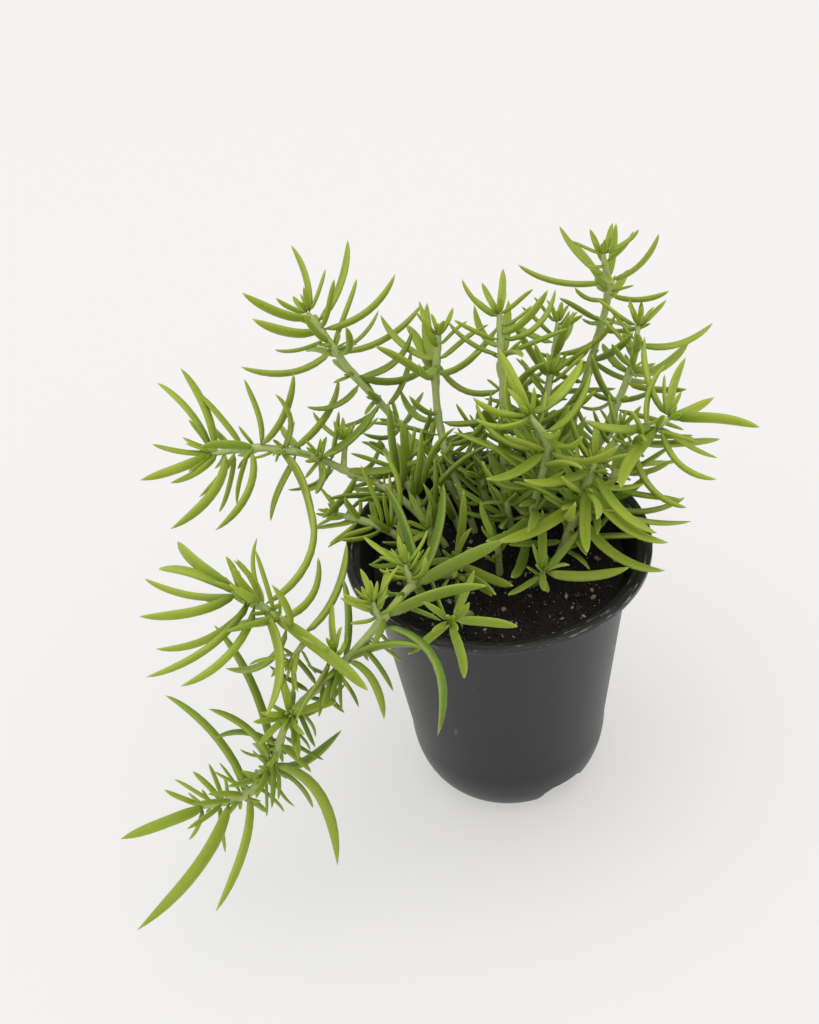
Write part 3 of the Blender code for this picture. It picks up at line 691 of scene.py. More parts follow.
SHOOTS = (
    own_stem("trailing", 20, 15, 9, (-9, -6, 72), (-15, -13, 80), (-22, -21, 84), (-30, -33, 83.5),
        (-41, -36, 72), (-55, -37, 57), (-61, -42, 45), (-69, -45, 37), (-81, -43, 31)),
    side_shoot("trailing", "branch", 50, 20, 4, (-41, -36, 72), (-49, -32, 78), (-58, -27, 84),
        (-65, -24, 88)),
    side_shoot("trailing", "top_side", 0, 14, 3, (-22, -21, 84), (-23.5, -19, 89.5)),
    side_shoot("trailing", "high_side", 10, 15, 3, (-30, -33, 83.5), (-31.5, -31.5, 89)),
    side_shoot("trailing", "mid_side", 40, 15, 2, (-41, -36, 72), (-42, -36, 77)),
    side_shoot("trailing", "low_side", 25, 15, 3, (-55, -37, 57), (-55, -41, 61)),
    side_shoot("trailing", "under_side", 0, 12, 2, (-49, -32, 78), (-53, -36, 75)),
    own_stem("left", 10, 19, 8, (-14, 8, 72), (-20, 13, 78), (-28, 18, 84), (-40, 24, 87), (-47, 25, 91),
        (-55, 25, 94), (-64, 27, 94), (-75, 28, 92)),
    side_shoot("left", "branch", 0, 14, 1, (-40, 24, 87), (-39.5, 27, 90), (-39, 29, 93)),
    own_stem("back_left", 30, 21, 8, (-10, 14, 72), (-15, 24, 80), (-24, 39, 88), (-36, 43.5, 104),
        (-41, 46, 112), (-47, 51, 120)),
    own_stem("upright_left", 0, 23, 6, (-6, 13, 72), (-9, 20, 80), (-13, 30, 90), (-14, 38, 102),
        (-12, 42, 116)),
    own_stem("rim_left", 15, 19, 4, (-17, 12, 72), (-20, 17, 78), (-24, 23, 84), (-29, 30, 88.5)),
    own_stem("rim_back", 40, 16, 4, (-9, 22, 72), (-13, 28, 79), (-17, 35, 85.5)),
    own_stem("over_rim_left", 0, 15, 5, (-21, 4, 72), (-26, 6, 77.5), (-32, 8, 80.5), (-42, 11, 82.5)),
    own_stem("front_low", 20, 14, 3, (-11, -1, 72), (-11.5, -6, 79)),
    own_stem("front_rim", 60, 14, 2, (-8, -20, 72), (-10, -27, 79), (-13, -36, 85)),
    own_stem("soil_right", 30, 15, 2, (8, -10, 72), (10, -14, 77), (11, -16, 82)),
    own_stem("centre", 10, 22, 6, (7, 3, 72), (10, 5, 86), (14, 8, 103), (10, 9.5, 112)),
    own_stem("right_front", 70, 18, 5, (15, -1, 72), (20, 1, 84), (26, 4, 100)),
    own_stem("right", 20, 20, 7, (20, 6, 72), (28, 9, 84), (36, 14, 96), (46, 15, 104)),
    own_stem("right_back", 0, 18, 5, (22, 13, 72), (28, 21, 82), (35, 30, 91)),
    own_stem("top", 0, 20, 8, (14, 21, 72), (21, 34, 86), (30, 53, 102), (34, 60, 113), (33, 61, 126)),
    own_stem("back_right", 25, 20, 7, (20, 19, 72), (29, 30, 86), (38, 40, 101), (41, 46, 112)),
    own_stem("back", 45, 22, 8, (2, 14, 72), (3, 24, 88), (4, 34, 104), (4, 41, 122)),
    own_stem("far_back", 10, 22, 7, (8, 24, 72), (12, 36, 84), (18, 50, 98), (20, 56, 108)),
    own_stem("mid_back", 60, 22, 6, (8, 15, 72), (12, 27, 86), (17, 39, 103)),
    own_stem("low_back", 0, 16, 4, (-3, 22, 72), (-4, 30, 80), (-4, 37, 88)),
    own_stem("inner_front", 15, 17, 4, (0, -4, 72), (0, -3, 81)),
    own_stem("inner_left", 35, 18, 4, (-16, 4, 72), (-18, 2, 83)),
    own_stem("inner_centre", 0, 18, 4, (4, 9, 72), (3, 8, 86)),
    own_stem("inner_back", 50, 17, 4, (-2, 18, 72), (-3, 19, 85)),
    own_stem("inner_right", 20, 17, 4, (15, 15, 72), (15.5, 17, 84)),
    own_stem("inner_low_left", 10, 16, 4, (-24, -8, 72), (-25, -8, 81)),
)
PLANTING_DEPTH = 6.0
STRAIGHT_FOOT = 2.0  # how far below the soil's top a stem starts to lean
AXIS_REACH = 2  # mm to either side, over which a stem's direction is measured
print("shoots:", len(SHOOTS), "on", len({shoot.node for shoot in SHOOTS}), "stems")

# %% Smooth lines through the routes
def smooth_line(points, step=1.0):
    """Points about a step apart on the smooth curve through the given points."""
    points = [Vector(point) for point in points]
    points = [2 * points[0] - points[1]] + points + [2 * points[-1] - points[-2]]
    line = []
    for before, start, end, after in zip(points, points[1:], points[2:], points[3:]):
        pieces = max(2, round((end - start).length / step))
        for i in range(pieces):
            t = i / pieces
            line.append(0.5 * (
                2 * start + (end - before) * t + (2 * before - 5 * start + 4 * end - after) * t ** 2
                + (3 * start - before - 3 * end + after) * t ** 3))
    return line + [points[-2]]


def shoot_line(shoot):
    """The shoot's centre line. A planted one goes straight down into the soil first."""
    route = list(shoot.route)
    if shoot.planted:
        x, y, _ = route[0]
        route = [(x, y, SOIL_TOP - PLANTING_DEPTH), (x, y, SOIL_TOP - STRAIGHT_FOOT)] + route
    return smooth_line(route)


def length_of(line):
    return sum((b - a).length for a, b in zip(line, line[1:]))


def point_back(line, back):
    """The point of a line that lies a distance back from its end."""
    for end, start in zip(line[::-1], line[-2::-1]):
        piece = (start - end).length
        if back <= piece:
            return end.lerp(start, max(back, 0) / piece)
        back -= piece
    return line[0].copy()


def axis_back(line, back):
    """The direction towards the tip, at a distance back from it."""
    ahead = point_back(line, back - AXIS_REACH)
    return (ahead - point_back(line, back + AXIS_REACH)).normalized()


lines = {shoot.name: shoot_line(shoot) for shoot in SHOOTS}
print("longest shoot in mm:", round(max(length_of(line) for line in lines.values())))

# %% [markdown]
# ## Where the leaves grow
# A sedum of this kind carries its leaves in whorls. At the tip they are small and stand close together.
# Further back they are long, open and far apart. A rule with a seeded random draw gives each whorl its
# leaves, from the tip downwards. The long leaves that give this plant its outline come first, and are
# listed one by one: how far back from the tip each one grows, where its own tip reaches from there, and
# how strongly it arches.

# %% Long leaves, in mm
LONG_LEAVES = {  # back from the shoot's tip, the leaf's reach along X, Y and Z, and its arch
    "trailing": (
        (1, -20, -14, 5, 1), (9, -21, -38, -3, 1.5), (15, -21, 21, 16, 1), (15, -7, -35, -4, 1.5),
        (25, 17, 18, -7, -2.6), (25, -14, 2, 19, 1.4), (26, -15, 31, 20, 1), (25, 17, -31, -5, 2.4),
        (40, 13, 15, -5, -2.2), (62, 21, -9, 11, 1.2), (62, 0, 20, 10, 1), (63, 9, -20, -2, 1.8),
        (76, 13, -33, -7, 2.6), (78, 26, -3, 11, 1), (91, 24, -3, 16, 1), (93, -7, 16, 20, 1),
        (93, 8, 23, 13, 1)),
    "trailing_branch": (
        (0, -22, 14, -3, -1.8), (0, -22, -17, 10, 1), (0, -17, 21, 0, -2), (3, -24, -25, 0, 1.2),
        (5, -17, -27, -1, 1.2), (7, 1, -31, -7, 1.4), (7, 11, 30, 12, 2), (10, 24, -27, -2, 1.2),
        (19, 11, 27, 7, 1.2), (1, -24, 3, 5, 1), (4, -24, -11, -4, 1.4)),
    "left": (
        (0, -14, 13, 15, 1), (0, -18, -12, 2, 1), (1, -8, 12, 20, 1), (1, -17, 2, 3, -1),
        (2, -13, -8, -3, 1.8), (3, -11, 5, 2, -1), (4, -14, -25, -5, 1.8),
        (11, -9, -24, -8, 1.8), (13, 12, 1, 23, 1), (20, 7, -25, -11, 1), (22, 13, 23, 6, 1),
        (30, 17, -1, 18, 1), (37, 22, -7, 8, 1)),
    "back_left": (
        (1, -4, 15, 13, 1), (2, -16, -11, 17, 1), (4, 9, 21, 13, 1), (6, -16, -14, 15, 1),
        (6, 21, 8, 11, 1.4), (12, -23, -18, 9, 1.4), (13, 23, 15, 4, 1.4), (21, 23, 15, -5, 1.8)),
    "front_rim": ((0, 3, -17, -3, 1.6), (2, 16, -7, 3, 1.6), (3, -13, -7, 0, 1.4), (3, 6, 10, 7, 1)),
    "soil_right": (
        (0, 1, 16, 7, 1), (1, 20, -9, 1, 1.8), (2, -9, -9, 2, 1.2), (2, 10, 9, 6, 1), (2, 1, -10, 3, 1)),
    "centre": (
        (0, -7, 22, 6, 1), (0, 15, 20, 3, 1), (0, -14, -7, 12, 1), (1, -14, -11, 9, 1),
        (11, -16, -17, 5, 1)),
    "right_front": (
        (2, 14, -23, -3, 1.2), (2, -18, -15, 10, 1), (6, 18, -24, -1, 1.4), (6, -2, -24, -3, 1),
        (11, -25, -16, 5, 1.2), (15, 17, -25, 0, 1.6)),
    "right": (
        (0, -4, 23, 10, 1), (0, 6, 18, 6, 1), (0, 13, 13, -4, 1), (0, 20, -20, 11, -0.5),
        (3, 12, -20, -3, 1.6), (3, -12, -23, -1, 1.6), (4, -19, -12, 13, 1), (12, 12, -21, -4, 1.8)),
    "top": ((8, -12, 12, 10, 1), (9, 13, -4, 17, 1.4), (9, -24, 0, 7, 1)),
    "back_right": ((5, 20, -2, 7, 1.6),),
    "back": ((0, 2, 13, 6, 1), (1, -9, -2, 14, 1)),
}
print("long leaves:", sum(len(rows) for rows in LONG_LEAVES.values()))

# %% One leaf, in mm
LEAF_HALF_WIDTH = 1.65
LEAST_WIDTH = 0.2  # of the full width, on the shortest leaf
WIDENING = 33.0  # how much longer a leaf is that is wider by the whole width
LEAF_BOW = 0.0042  # for each mm of length, as a share of it
MOST_BOW = 0.09
ROOT_INSET = 0.5
ROOT_SHARE = 0.36  # of the leaf's width, at its root
FILLING_OUT = 2.2  # how fast that grows along the leaf
WIDEST_TO = 0.45  # of its length
TAPERING = 2.2
UPRIGHT = 0.94  # a steeper axis has its bearings counted from Y and not from Z
Leaf = namedtuple("Leaf", "root tip bow facing half_width")


def blade_share(t):
    """The leaf's width at t, from 0 at its root to 1 at its tip, as a share of its full width."""
    widening = min(1.0, ROOT_SHARE + FILLING_OUT * t)
    return widening * (1 - max(0.0, (t - WIDEST_TO) / (1 - WIDEST_TO)) ** TAPERING)


def on_leaf(leaf, t):
    """The point of the leaf's bent centre line at t."""
    bend = (leaf.root + leaf.tip) / 2 + 2 * leaf.bow
    return leaf.root * (1 - t) ** 2 + bend * 2 * t * (1 - t) + leaf.tip * t * t


def grow_leaf(root, axis, direction, length, arch=1.0):
    """A leaf along a direction. It opens wide and then curves back towards the shoot's tip."""
    inward = (axis - axis.dot(direction) * direction).normalized()
    bow = min(LEAF_BOW * length, MOST_BOW) * arch * length
    tip = root + length * direction
    root = root + ROOT_INSET * direction
    width = LEAF_HALF_WIDTH * min(1.0, LEAST_WIDTH + length / WIDENING)
    return Leaf(root, tip, -inward * bow, inward, width)


def opened(axis, bearing, opening):
    """A direction at an opening angle from the axis, turned round it by a bearing, both in degrees."""
    up = Vector((0, 0, 1)) if abs(axis.z) < UPRIGHT else Vector((0, 1, 0))
    side = axis.cross(up).normalized()
    leaning = Quaternion(side.cross(axis), math.radians(-opening)) @ axis
    return Quaternion(axis, math.radians(bearing)) @ leaning


print("a leaf 20 mm long is", round(2 * grow_leaf(
    Vector(), Vector((0, 0, 1)), Vector((1, 0, 0)), 20).half_width, 1), "mm wide")

# %% [markdown]
# Leaves of two stems must not grow through each other, and none may pass through the pot. `Room` keeps
# that: it fills space with balls along every stem and leaf, and says whether a new leaf would come too
# near to another stem's. If it would, the leaf is turned, leaned or shortened until it fits.

# %% Keeping leaves apart
STEM_RADIUS = 1.0
CLEARANCE = 0.35
RIM_CLEARANCE = 0.4
SOIL_CLEARANCE = 1.2
SIDE_CLEARANCE = 0.5
MOUTH_MARGIN = 7.0  # how far inside the rim's edge a leaf may lie below the rim
GROUND_CLEARANCE = 1.0
BALLS_PER_LEAF = 27
FIRST_BALL = 0.16  # of the leaf's length
BALL_MARGIN = 0.12
SHORTENINGS = (1, 0.85, 0.7, 0.5)
LEANS = (0, 10, -12, 20, -24)  # degrees
TURNS = (0, 9, -9, 18, -18, 28, -28)


class Room:
    """The space that the stems and leaves fill, as balls in a grid of cells."""

    CELL = 3.4  # mm, about as far as two leaves' balls reach

    def __init__(self):
        self.cells = {}

    def cell(self, point):
        return tuple(math.floor(value / self.CELL) for value in point)

    def fill(self, balls, node):
        for point, radius in balls:
            self.cells.setdefault(self.cell(point), []).append((point, radius, node))

    def is_clear(self, balls, node):
        """Whether the balls keep clear of every other node."""
        steps = (-1, 0, 1)
        for point, radius in balls:
            x, y, z = self.cell(point)
            for near in ((x + i, y + j, z + k) for i in steps for j in steps for k in steps):
                for other, other_radius, owner in self.cells.get(near, ()):
                    reach = radius + other_radius + CLEARANCE
                    if owner != node and (other - point).length_squared < reach * reach:
                        return False
        return True


def clears_pot(balls):
    """Whether the balls lie above the rim, inside it over the soil, or outside the pot."""
    for point, radius in balls:
        out = math.hypot(point.x, point.y)
        low = point.z - radius
        above = low > POT_HEIGHT + RIM_CLEARANCE
        inside = out + radius < RIM_RADIUS - MOUTH_MARGIN and low > SOIL_TOP + SOIL_CLEARANCE
        outside = out - radius > RIM_RADIUS + SIDE_CLEARANCE and low > GROUND_CLEARANCE
        if not (above or inside or outside):
            return False
    return True


def leaf_balls(leaf):
    """Balls along the leaf, but for its root, which lies in its stem."""
    last = BALLS_PER_LEAF - 1
    shares = [FIRST_BALL + (1 - FIRST_BALL) * i / last for i in range(BALLS_PER_LEAF)]
    return [(on_leaf(leaf, t), leaf.half_width * blade_share(t) + BALL_MARGIN) for t in shares]


def place_leaf(room, node, root, axis, direction, length, arch=1.0):
    """The first way to turn, lean or shorten a leaf that keeps it clear, or None."""
    tilt_axis = axis.cross(direction).normalized()
    for share in SHORTENINGS:
        for lean in LEANS:
            leaning = Quaternion(tilt_axis, math.radians(lean)) @ direction
            for turn in TURNS:
                turned_to = Quaternion(axis, math.radians(turn)) @ leaning
                leaf = grow_leaf(root, axis, turned_to, length * share, arch)
                balls = leaf_balls(leaf)
                if clears_pot(balls) and room.is_clear(balls, node):
                    room.fill(balls, node)
                    return leaf
    return None


room = Room()
for shoot in SHOOTS:
    room.fill([(point, STEM_RADIUS) for point in lines[shoot.name]], shoot.node)
print("cells taken by the stems:", len(room.cells))

# %% Rules for the whorls, in mm and degrees
WHORL_LEAVES = (2, 3, 4, 4, 3, 3, 2, 2, 2)  # in each whorl, from the tip down
WHORL_GROWTH = (0.28, 0.52, 0.85, 1.0, 1.0, 0.97, 0.92, 0.88, 0.85)  # of the shoot's leaf length
WHORL_OPENING = (28, 47, 59, 66, 71, 76, 80, 84, 86)  # from the stem's axis
FIRST_BACK = 0.8  # from the tip to the first whorl
FIRST_GAP = 2.6  # and from there to the next
FULL_SHOOT = 14.0  # on a shorter shoot the whorls are closer together
GAP_GROWTH = 1.5
WIDEST_GAP = 9.5
BARE_FOOT = 11.0  # how much of a stem's foot has no whorls
BARE_FORK = 1.5  # and how much of a branch's
PLACE_SPREAD = 0.3  # how far up or down from its whorl a leaf may grow, in gaps
BEARING_SPREAD = 20
OPENING_SPREAD = 13
LENGTH_SPREAD = (0.75, 1.2)
ARCH_SPREAD = (-0.2, 2.2)
BESIDE_LONG = 4.5  # a whorl leaf this near to a long leaf
LIKE_LONG = 0.87  # and pointing this much the same way is left out
SEED = 7
LONG_SWAY = 0.25  # how much of the free sway and curl a long leaf gets, whose place and bow are given

# A leaf, how far back from its shoot's tip it grows, and how freely it may sway
Grown = namedtuple("Grown", "leaf back sway")
print("leaves in a shoot's whorls, from its tip:", WHORL_LEAVES)

# %% Laying out the leaves
def grow_long_leaves(shoot):
    """The shoot's long leaves, and how far back and which way each one grows."""
    line = lines[shoot.name]
    rows = []
    taken = []
    for back, *reach, arch in LONG_LEAVES.get(shoot.name, ()):
        reach = Vector(reach)
        direction = reach.normalized()
        root = point_back(line, back)
        leaf = place_leaf(room, shoot.node, root, axis_back(line, back), direction, reach.length, arch)
        if leaf:
            rows.append(Grown(leaf, back, LONG_SWAY))
            taken.append((back, direction))
    return rows, taken


def grow_whorls(shoot, taken, draw):
    """Whorls of leaves by rule, from a shoot's tip down, between its long ones."""
    line = lines[shoot.name]
    rows = []
    lowest = length_of(line) - (BARE_FOOT if shoot.planted else BARE_FORK)
    back = FIRST_BACK
    gap = FIRST_GAP * min(1.0, length_of(line) / FULL_SHOOT)
    for whorl in range(shoot.whorls):
        if back > lowest:
            break
        axis = axis_back(line, back)
        count = WHORL_LEAVES[whorl]
        for i in range(count):
            half_turn = 0.5 * (whorl % 2)  # every second whorl stands in the gaps of the last
            bearing = shoot.bearing + (i + half_turn) * 360 / count
            bearing += draw.uniform(-BEARING_SPREAD, BEARING_SPREAD)
            length = shoot.leaf_length * WHORL_GROWTH[whorl] * draw.uniform(*LENGTH_SPREAD)
            opening = WHORL_OPENING[whorl] + draw.uniform(-OPENING_SPREAD, OPENING_SPREAD)
            arch = draw.uniform(*ARCH_SPREAD)
            root = point_back(line, back + gap * draw.uniform(-PLACE_SPREAD, PLACE_SPREAD))
            direction = opened(axis, bearing, opening)
            beside = [way for at, way in taken if abs(at - back) < BESIDE_LONG]
            if any(direction.dot(way) > LIKE_LONG for way in beside):
                continue
            leaf = place_leaf(room, shoot.node, root, axis, direction, length, arch)
            if leaf:
                rows.append(Grown(leaf, back, 1.0))
        back += gap
        gap = min(gap * GAP_GROWTH, WIDEST_GAP)
    return rows


leaves = {}
taken = {}
for shoot in SHOOTS:
    leaves[shoot.name], taken[shoot.name] = grow_long_leaves(shoot)
draw = random.Random(SEED)
for shoot in SHOOTS:
    leaves[shoot.name] += grow_whorls(shoot, taken[shoot.name], draw)
print("leaves:", sum(len(rows) for rows in leaves.values()))

# %% [markdown]
# The solids hold only as many leaves as they can afford. The plant has more: every growing tip ends in a
# little star of young leaves round a bud, further back there are leaves between the large ones, and in
# the angle between an old leaf and the stem there is often a second, sleeping bud. They are added here.
# A filling leaf must also keep clear of its own stem's leaves, so it only goes where there is a gap.

# %% Sizes of small leaves and filling leaves
SMALL_SEED = 19
TIP_STAR = (  # mm long, and degrees from the axis
    (3.2, 8), (4.2, 14), (5.4, 22), (6.8, 30), (8.2, 37), (9.6, 43), (11, 49), (12.5, 55))
TIP_BACK = 0.3  # mm from the shoot's end
SLEEPING_BUD = ((3, 14), (4.2, 28), (5.6, 40), (6.8, 52), (7.6, 60))
BUD_SHARE = 0.3  # of the large leaves that have such a bud
BUDS_FROM = 8  # mm back from the tip
BUD_LEAN = 1.4  # how much a bud leans along its leaf, over how much along the stem
BUD_ABOVE = 1  # mm nearer to the tip than its leaf
NEXT_LEAF_TURN = 137.5  # degrees from one small leaf to the next
SMALL_OPENING_SPREAD = 6
SMALL_LENGTH_SPREAD = (0.85, 1.15)
CROWDED_RADIUS = 31  # mm from the pot's middle
CROWDED_HEIGHT = 98
CROWDED_FRONT = -9  # mm along Y: in front of it the soil shows between the shoots
FILLING_TRIES = 5  # for each mm of stem
FILLING_FROM = 3  # mm back from the tip
FILLING_FOOT = (3, 2)  # mm that stay bare above the soil, and above a fork
FILLING_WIDTH = 0.8  # of an ordinary leaf's
FILLING_LENGTH = (16, 29)
OUTER_LENGTH = (0.7, 1.0)  # of the shoot's own leaves, where the plant isn't crowded
FILLING_OPENING = (35, 92)
FILLING_ARCH = (-0.4, 1.8)
OUTER_SHARE = 0.04  # how many of them are tried where the plant isn't crowded
TRAILING_SHARE = 0.13  # and how many more on the trailing stem, which is leafy down to its fork
FREE_FROM = 9  # the first of a leaf's balls that has to keep clear of its own stem's leaves


def fits(shoot, leaf, balls):
    """Whether a leaf keeps clear of the pot and of other stems, and adds nothing to the plant's size."""
    inside = all(low <= value * MM <= high for value, low, high in zip(leaf.tip, cad_low, cad_high))
    return inside and clears_pot(balls) and room.is_clear(balls, shoot.node)


print("small leaves in a tip's star:", len(TIP_STAR))

# %% Small leaves and filling leaves
def add_small_leaves(shoot, root, axis, sizes, draw):
    """Small leaves round a growing point. Each is turned on from the last by the same angle."""
    bearing = draw.uniform(0, 360)
    made = []
    for length, opening in sizes:
        bearing += NEXT_LEAF_TURN
        opening += draw.uniform(-SMALL_OPENING_SPREAD, SMALL_OPENING_SPREAD)
        direction = opened(axis, bearing, opening)
        leaf = grow_leaf(root, axis, direction, length * draw.uniform(*SMALL_LENGTH_SPREAD))
        balls = leaf_balls(leaf)
        if fits(shoot, leaf, balls):
            room.fill(balls, shoot.node)
            made.append(leaf)
    return made


def add_filling_leaves(shoot, draw, outer_share):
    """Leaves in the gaps between the shoot's large ones, down to its bare foot."""
    line = lines[shoot.name]
    above_soil, above_fork = FILLING_FOOT
    lowest = length_of(line) - (PLANTING_DEPTH + above_soil if shoot.planted else above_fork)
    made = []
    for _ in range(round(FILLING_TRIES * max(0, lowest - FILLING_FROM))):
        back = draw.uniform(FILLING_FROM, lowest)
        root = point_back(line, back)
        crowded = math.hypot(root.x, root.y) < CROWDED_RADIUS and root.z < CROWDED_HEIGHT
        crowded = crowded and root.y > CROWDED_FRONT
        if not crowded and draw.random() > outer_share:
            continue
        if crowded:
            length = draw.uniform(*FILLING_LENGTH)
        else:
            length = shoot.leaf_length * draw.uniform(*OUTER_LENGTH)
        axis = axis_back(line, back)
        direction = opened(axis, draw.uniform(0, 360), draw.uniform(*FILLING_OPENING))
        leaf = grow_leaf(root, axis, direction, length, draw.uniform(*FILLING_ARCH))
        leaf = leaf._replace(half_width=leaf.half_width * FILLING_WIDTH)
        balls = leaf_balls(leaf)
        if fits(shoot, leaf, balls) and room.is_clear(balls[FREE_FROM:], None):
            room.fill(balls, shoot.node)
            made.append(Grown(leaf, back, 1.0))
    return made


draw = random.Random(SMALL_SEED)
small_leaves = {}
for shoot in SHOOTS:
    line = lines[shoot.name]
    small_leaves[shoot.name] = add_small_leaves(
        shoot, point_back(line, TIP_BACK), axis_back(line, TIP_BACK), TIP_STAR, draw)
filling = {shoot.name: add_filling_leaves(shoot, draw, OUTER_SHARE) for shoot in SHOOTS}
for shoot in SHOOTS:
    if shoot.node == "trailing_stem":
        filling[shoot.name] += add_filling_leaves(shoot, draw, TRAILING_SHARE)
for shoot in SHOOTS:
    line = lines[shoot.name]
    for leaf, back, _ in leaves[shoot.name]:
        if back > BUDS_FROM and draw.random() < BUD_SHARE:
            axis = (axis_back(line, back) + BUD_LEAN * (leaf.tip - leaf.root).normalized()).normalized()
            small_leaves[shoot.name] += add_small_leaves(
                shoot, point_back(line, back - BUD_ABOVE), axis, SLEEPING_BUD, draw)
print("small leaves:", sum(len(rows) for rows in small_leaves.values()))
print("filling leaves:", sum(len(rows) for rows in filling.values()))

# %% [markdown]
# ## A leafy stem
# A leaf repeats hundreds of times, always as the same fleshy blade but long or short, bent one way or
# another. So the growth tree starts from a small ball, writes on each of its points how far along the
# leaf and how far across it lies, puts a copy on every leaf point of a plan, and then lays each copy
# along the curve of its own leaf. The plan is a mesh without faces: its edges run along the stem, and its
# loose points carry what each leaf needs as attributes. The stem is a tube swept along the edges.

# %% A blade's points
BLADE_SIDES = 8
BLADE_RINGS = 11
TIP_CROWDING = 1.25  # above 1 the rings stand closer together towards the tip


def named(wires, name, kind="FLOAT"):
    return wires.add("GeometryNodeInputNamedAttribute", {"data_type": kind}, {"Name": name})


def store(wires, geometry, name, value):
    return wires.add("GeometryNodeStoreNamedAttribute", {"data_type": "FLOAT", "domain": "POINT"}, {
        "Geometry": geometry, "Name": name, "Value": value})


def blade_template(wires):
    """A ball whose points know where on a leaf they lie: along it, across it and above its middle."""
    ball = wires.add(
        "GeometryNodeMeshUVSphere", {}, {"Segments": BLADE_SIDES, "Rings": BLADE_RINGS, "Radius": 1.0})
    x, y, z = wires.split_axes(wires.add("GeometryNodeInputPosition"))
    ring = 1 - wires.math("ARCCOSINE", z) / math.pi
    round_axis = wires.math("MAXIMUM", wires.math("SQRT", x * x + y * y), 1e-4)
    ball = store(wires, ball, "along", 1 - (1 - ring) ** TIP_CROWDING)
    ball = store(wires, ball, "across", x / round_axis)
    return store(wires, ball, "above", y / round_axis)


print("blade:", BLADE_SIDES, "sides and", BLADE_RINGS, "rings")

# %% Laying the blades
BLADE_ROOT = 0.55  # of the blade's width, at its root
BLADE_FILLING_OUT = 1.8  # how fast that grows along the blade
BLADE_NARROWING = 0.12  # how much of it is lost evenly along the blade
TIP_BLUNTNESS = 3.8
CURL_TURN = 0.7  # of the length, where the curl changes sides
THICK_POWER = 0.7  # below 1 the blade stays thick where it narrows
CREST_POWER = 1.7  # above 1 the upper side is flatter towards the margins
KEEL_POWER = 1.3


def lay_blades(wires, blades, given):
    """Move the points of every blade to where its leaf's curve, width and section put them."""
    along, across, above, half_width, curling = (
        named(wires, name) for name in ("along", "across", "above", "half_width", "curl"))
    root, reach, bow, facing = (
        named(wires, name, "FLOAT_VECTOR") for name in ("root", "reach", "bow", "facing"))
    widening = wires.math("MINIMUM", BLADE_ROOT + along * BLADE_FILLING_OUT, 1.0)
    ending = wires.math("MAXIMUM", (along - WIDEST_TO) / (1 - WIDEST_TO), 0.0) ** TIP_BLUNTNESS
    share = widening * (1 - along * BLADE_NARROWING) * (1 - ending)
    bend = reach * 0.5 + bow * 2.0
    curl = along * along * (along - CURL_TURN) * curling
    centre = root + bend * (2 * along * (1 - along)) + reach * (along * along) + facing * curl
    ahead = wires.vector_math("NORMALIZE", bend * (1 - along * 2) + reach * along)
    side = wires.vector_math("NORMALIZE", wires.vector_math("CROSS_PRODUCT", facing, ahead))
    up = wires.vector_math("CROSS_PRODUCT", ahead, side)
    thickness = half_width * wires.math("MAXIMUM", share, 0.0) ** THICK_POWER
    crest = wires.math("MAXIMUM", above, 0.0) ** CREST_POWER * given["Crest"]
    keel = wires.math("MAXIMUM", above * -1, 0.0) ** KEEL_POWER * given["Keel"]
    groove = wires.ease(wires.math("ABSOLUTE", across), 0.6, 0.0) * given["Groove"]
    groove = groove * wires.ease(above, 0.0, 0.5) * wires.ease(along, 1.0, 0.8)
    lift = thickness * (crest - keel - groove)
    place = centre + side * (across * half_width * share) + up * lift
    return wires.add("GeometryNodeSetPosition", {}, {0: blades, "Position": place})


print("a blade is widest up to", WIDEST_TO, "of its length")

# %% The tree that grows a leafy stem
def stem_tube(wires, plan, given):
    curve = wires.add("GeometryNodeMeshToCurve", {}, {0: plan})
    circle = wires.add("GeometryNodeCurvePrimitiveCircle", {}, {
        "Resolution": given["Stem sides"], "Radius": 1.0})
    tube = wires.add("GeometryNodeCurveToMesh", {}, {
        0: curve, "Profile Curve": circle, "Scale": named(wires, "thickness"), "Fill Caps": True})
    return wires.add("GeometryNodeSetMaterial", {}, {0: tube, "Material": given["Stem material"]})


def leafy_stem_tree():
    wires, given = new_growth("leafy_stem", {
        "Crest": ("Float", 0.42),  # how high the blade's upper side is, over its half width
        "Keel": ("Float", 0.8),
        "Groove": ("Float", 0.15),
        "Stem sides": ("Int", 10),
        "Leaf material": ("Material", None),
        "Stem material": ("Material", None)})
    parted = wires.tree.nodes.new("GeometryNodeSeparateGeometry")
    for target, source in zip(parted.inputs, (given["Geometry"], named(wires, "is_leaf"))):
        wires.put(target, source)
    leaf_points, stem_plan = (Value(wires, output) for output in parted.outputs)
    blade = wires.add("GeometryNodeSetMaterial", {}, {
        0: blade_template(wires), "Material": given["Leaf material"]})
    blades = wires.add("GeometryNodeInstanceOnPoints", {}, {"Points": leaf_points, "Instance": blade})
    blades = wires.add("GeometryNodeRealizeInstances", {}, {0: blades})
    blades = lay_blades(wires, blades, given)
    joined = wires.tree.nodes.new("GeometryNodeJoinGeometry")
    for part in (blades, stem_tube(wires, stem_plan, given)):
        wires.tree.links.new(part.socket, joined.inputs[0])
    end_growth(wires, Value(wires, joined.outputs[0]))
    return wires.tree


stem_growth = leafy_stem_tree()
print("leafy stem tree:", len(stem_growth.nodes), "nodes")

# %% [markdown]
# A leaf's colour isn't one green. Young leaves near the tips are a bright yellow-green and old ones are
# darker and bluer. The leaves of a few stems inside the plant and low at its front get painted shade:
# they are coloured darker, as if they were old. The margins, the point and an old leaf's root are paler,
# because there is less flesh under the skin. Painted shade darkens the groove along the middle and a
# young leaf's root, deep in the crowd round its bud. All of it is painted from the attributes that the
# growth tree left on the points, so it follows each leaf however it bends, and tiny pale bumps, the
# papillae, lie over it.

# %% Leaf flesh
FLESH_SCALE = 1.2 * MM  # how deep light soaks into leaves and stems


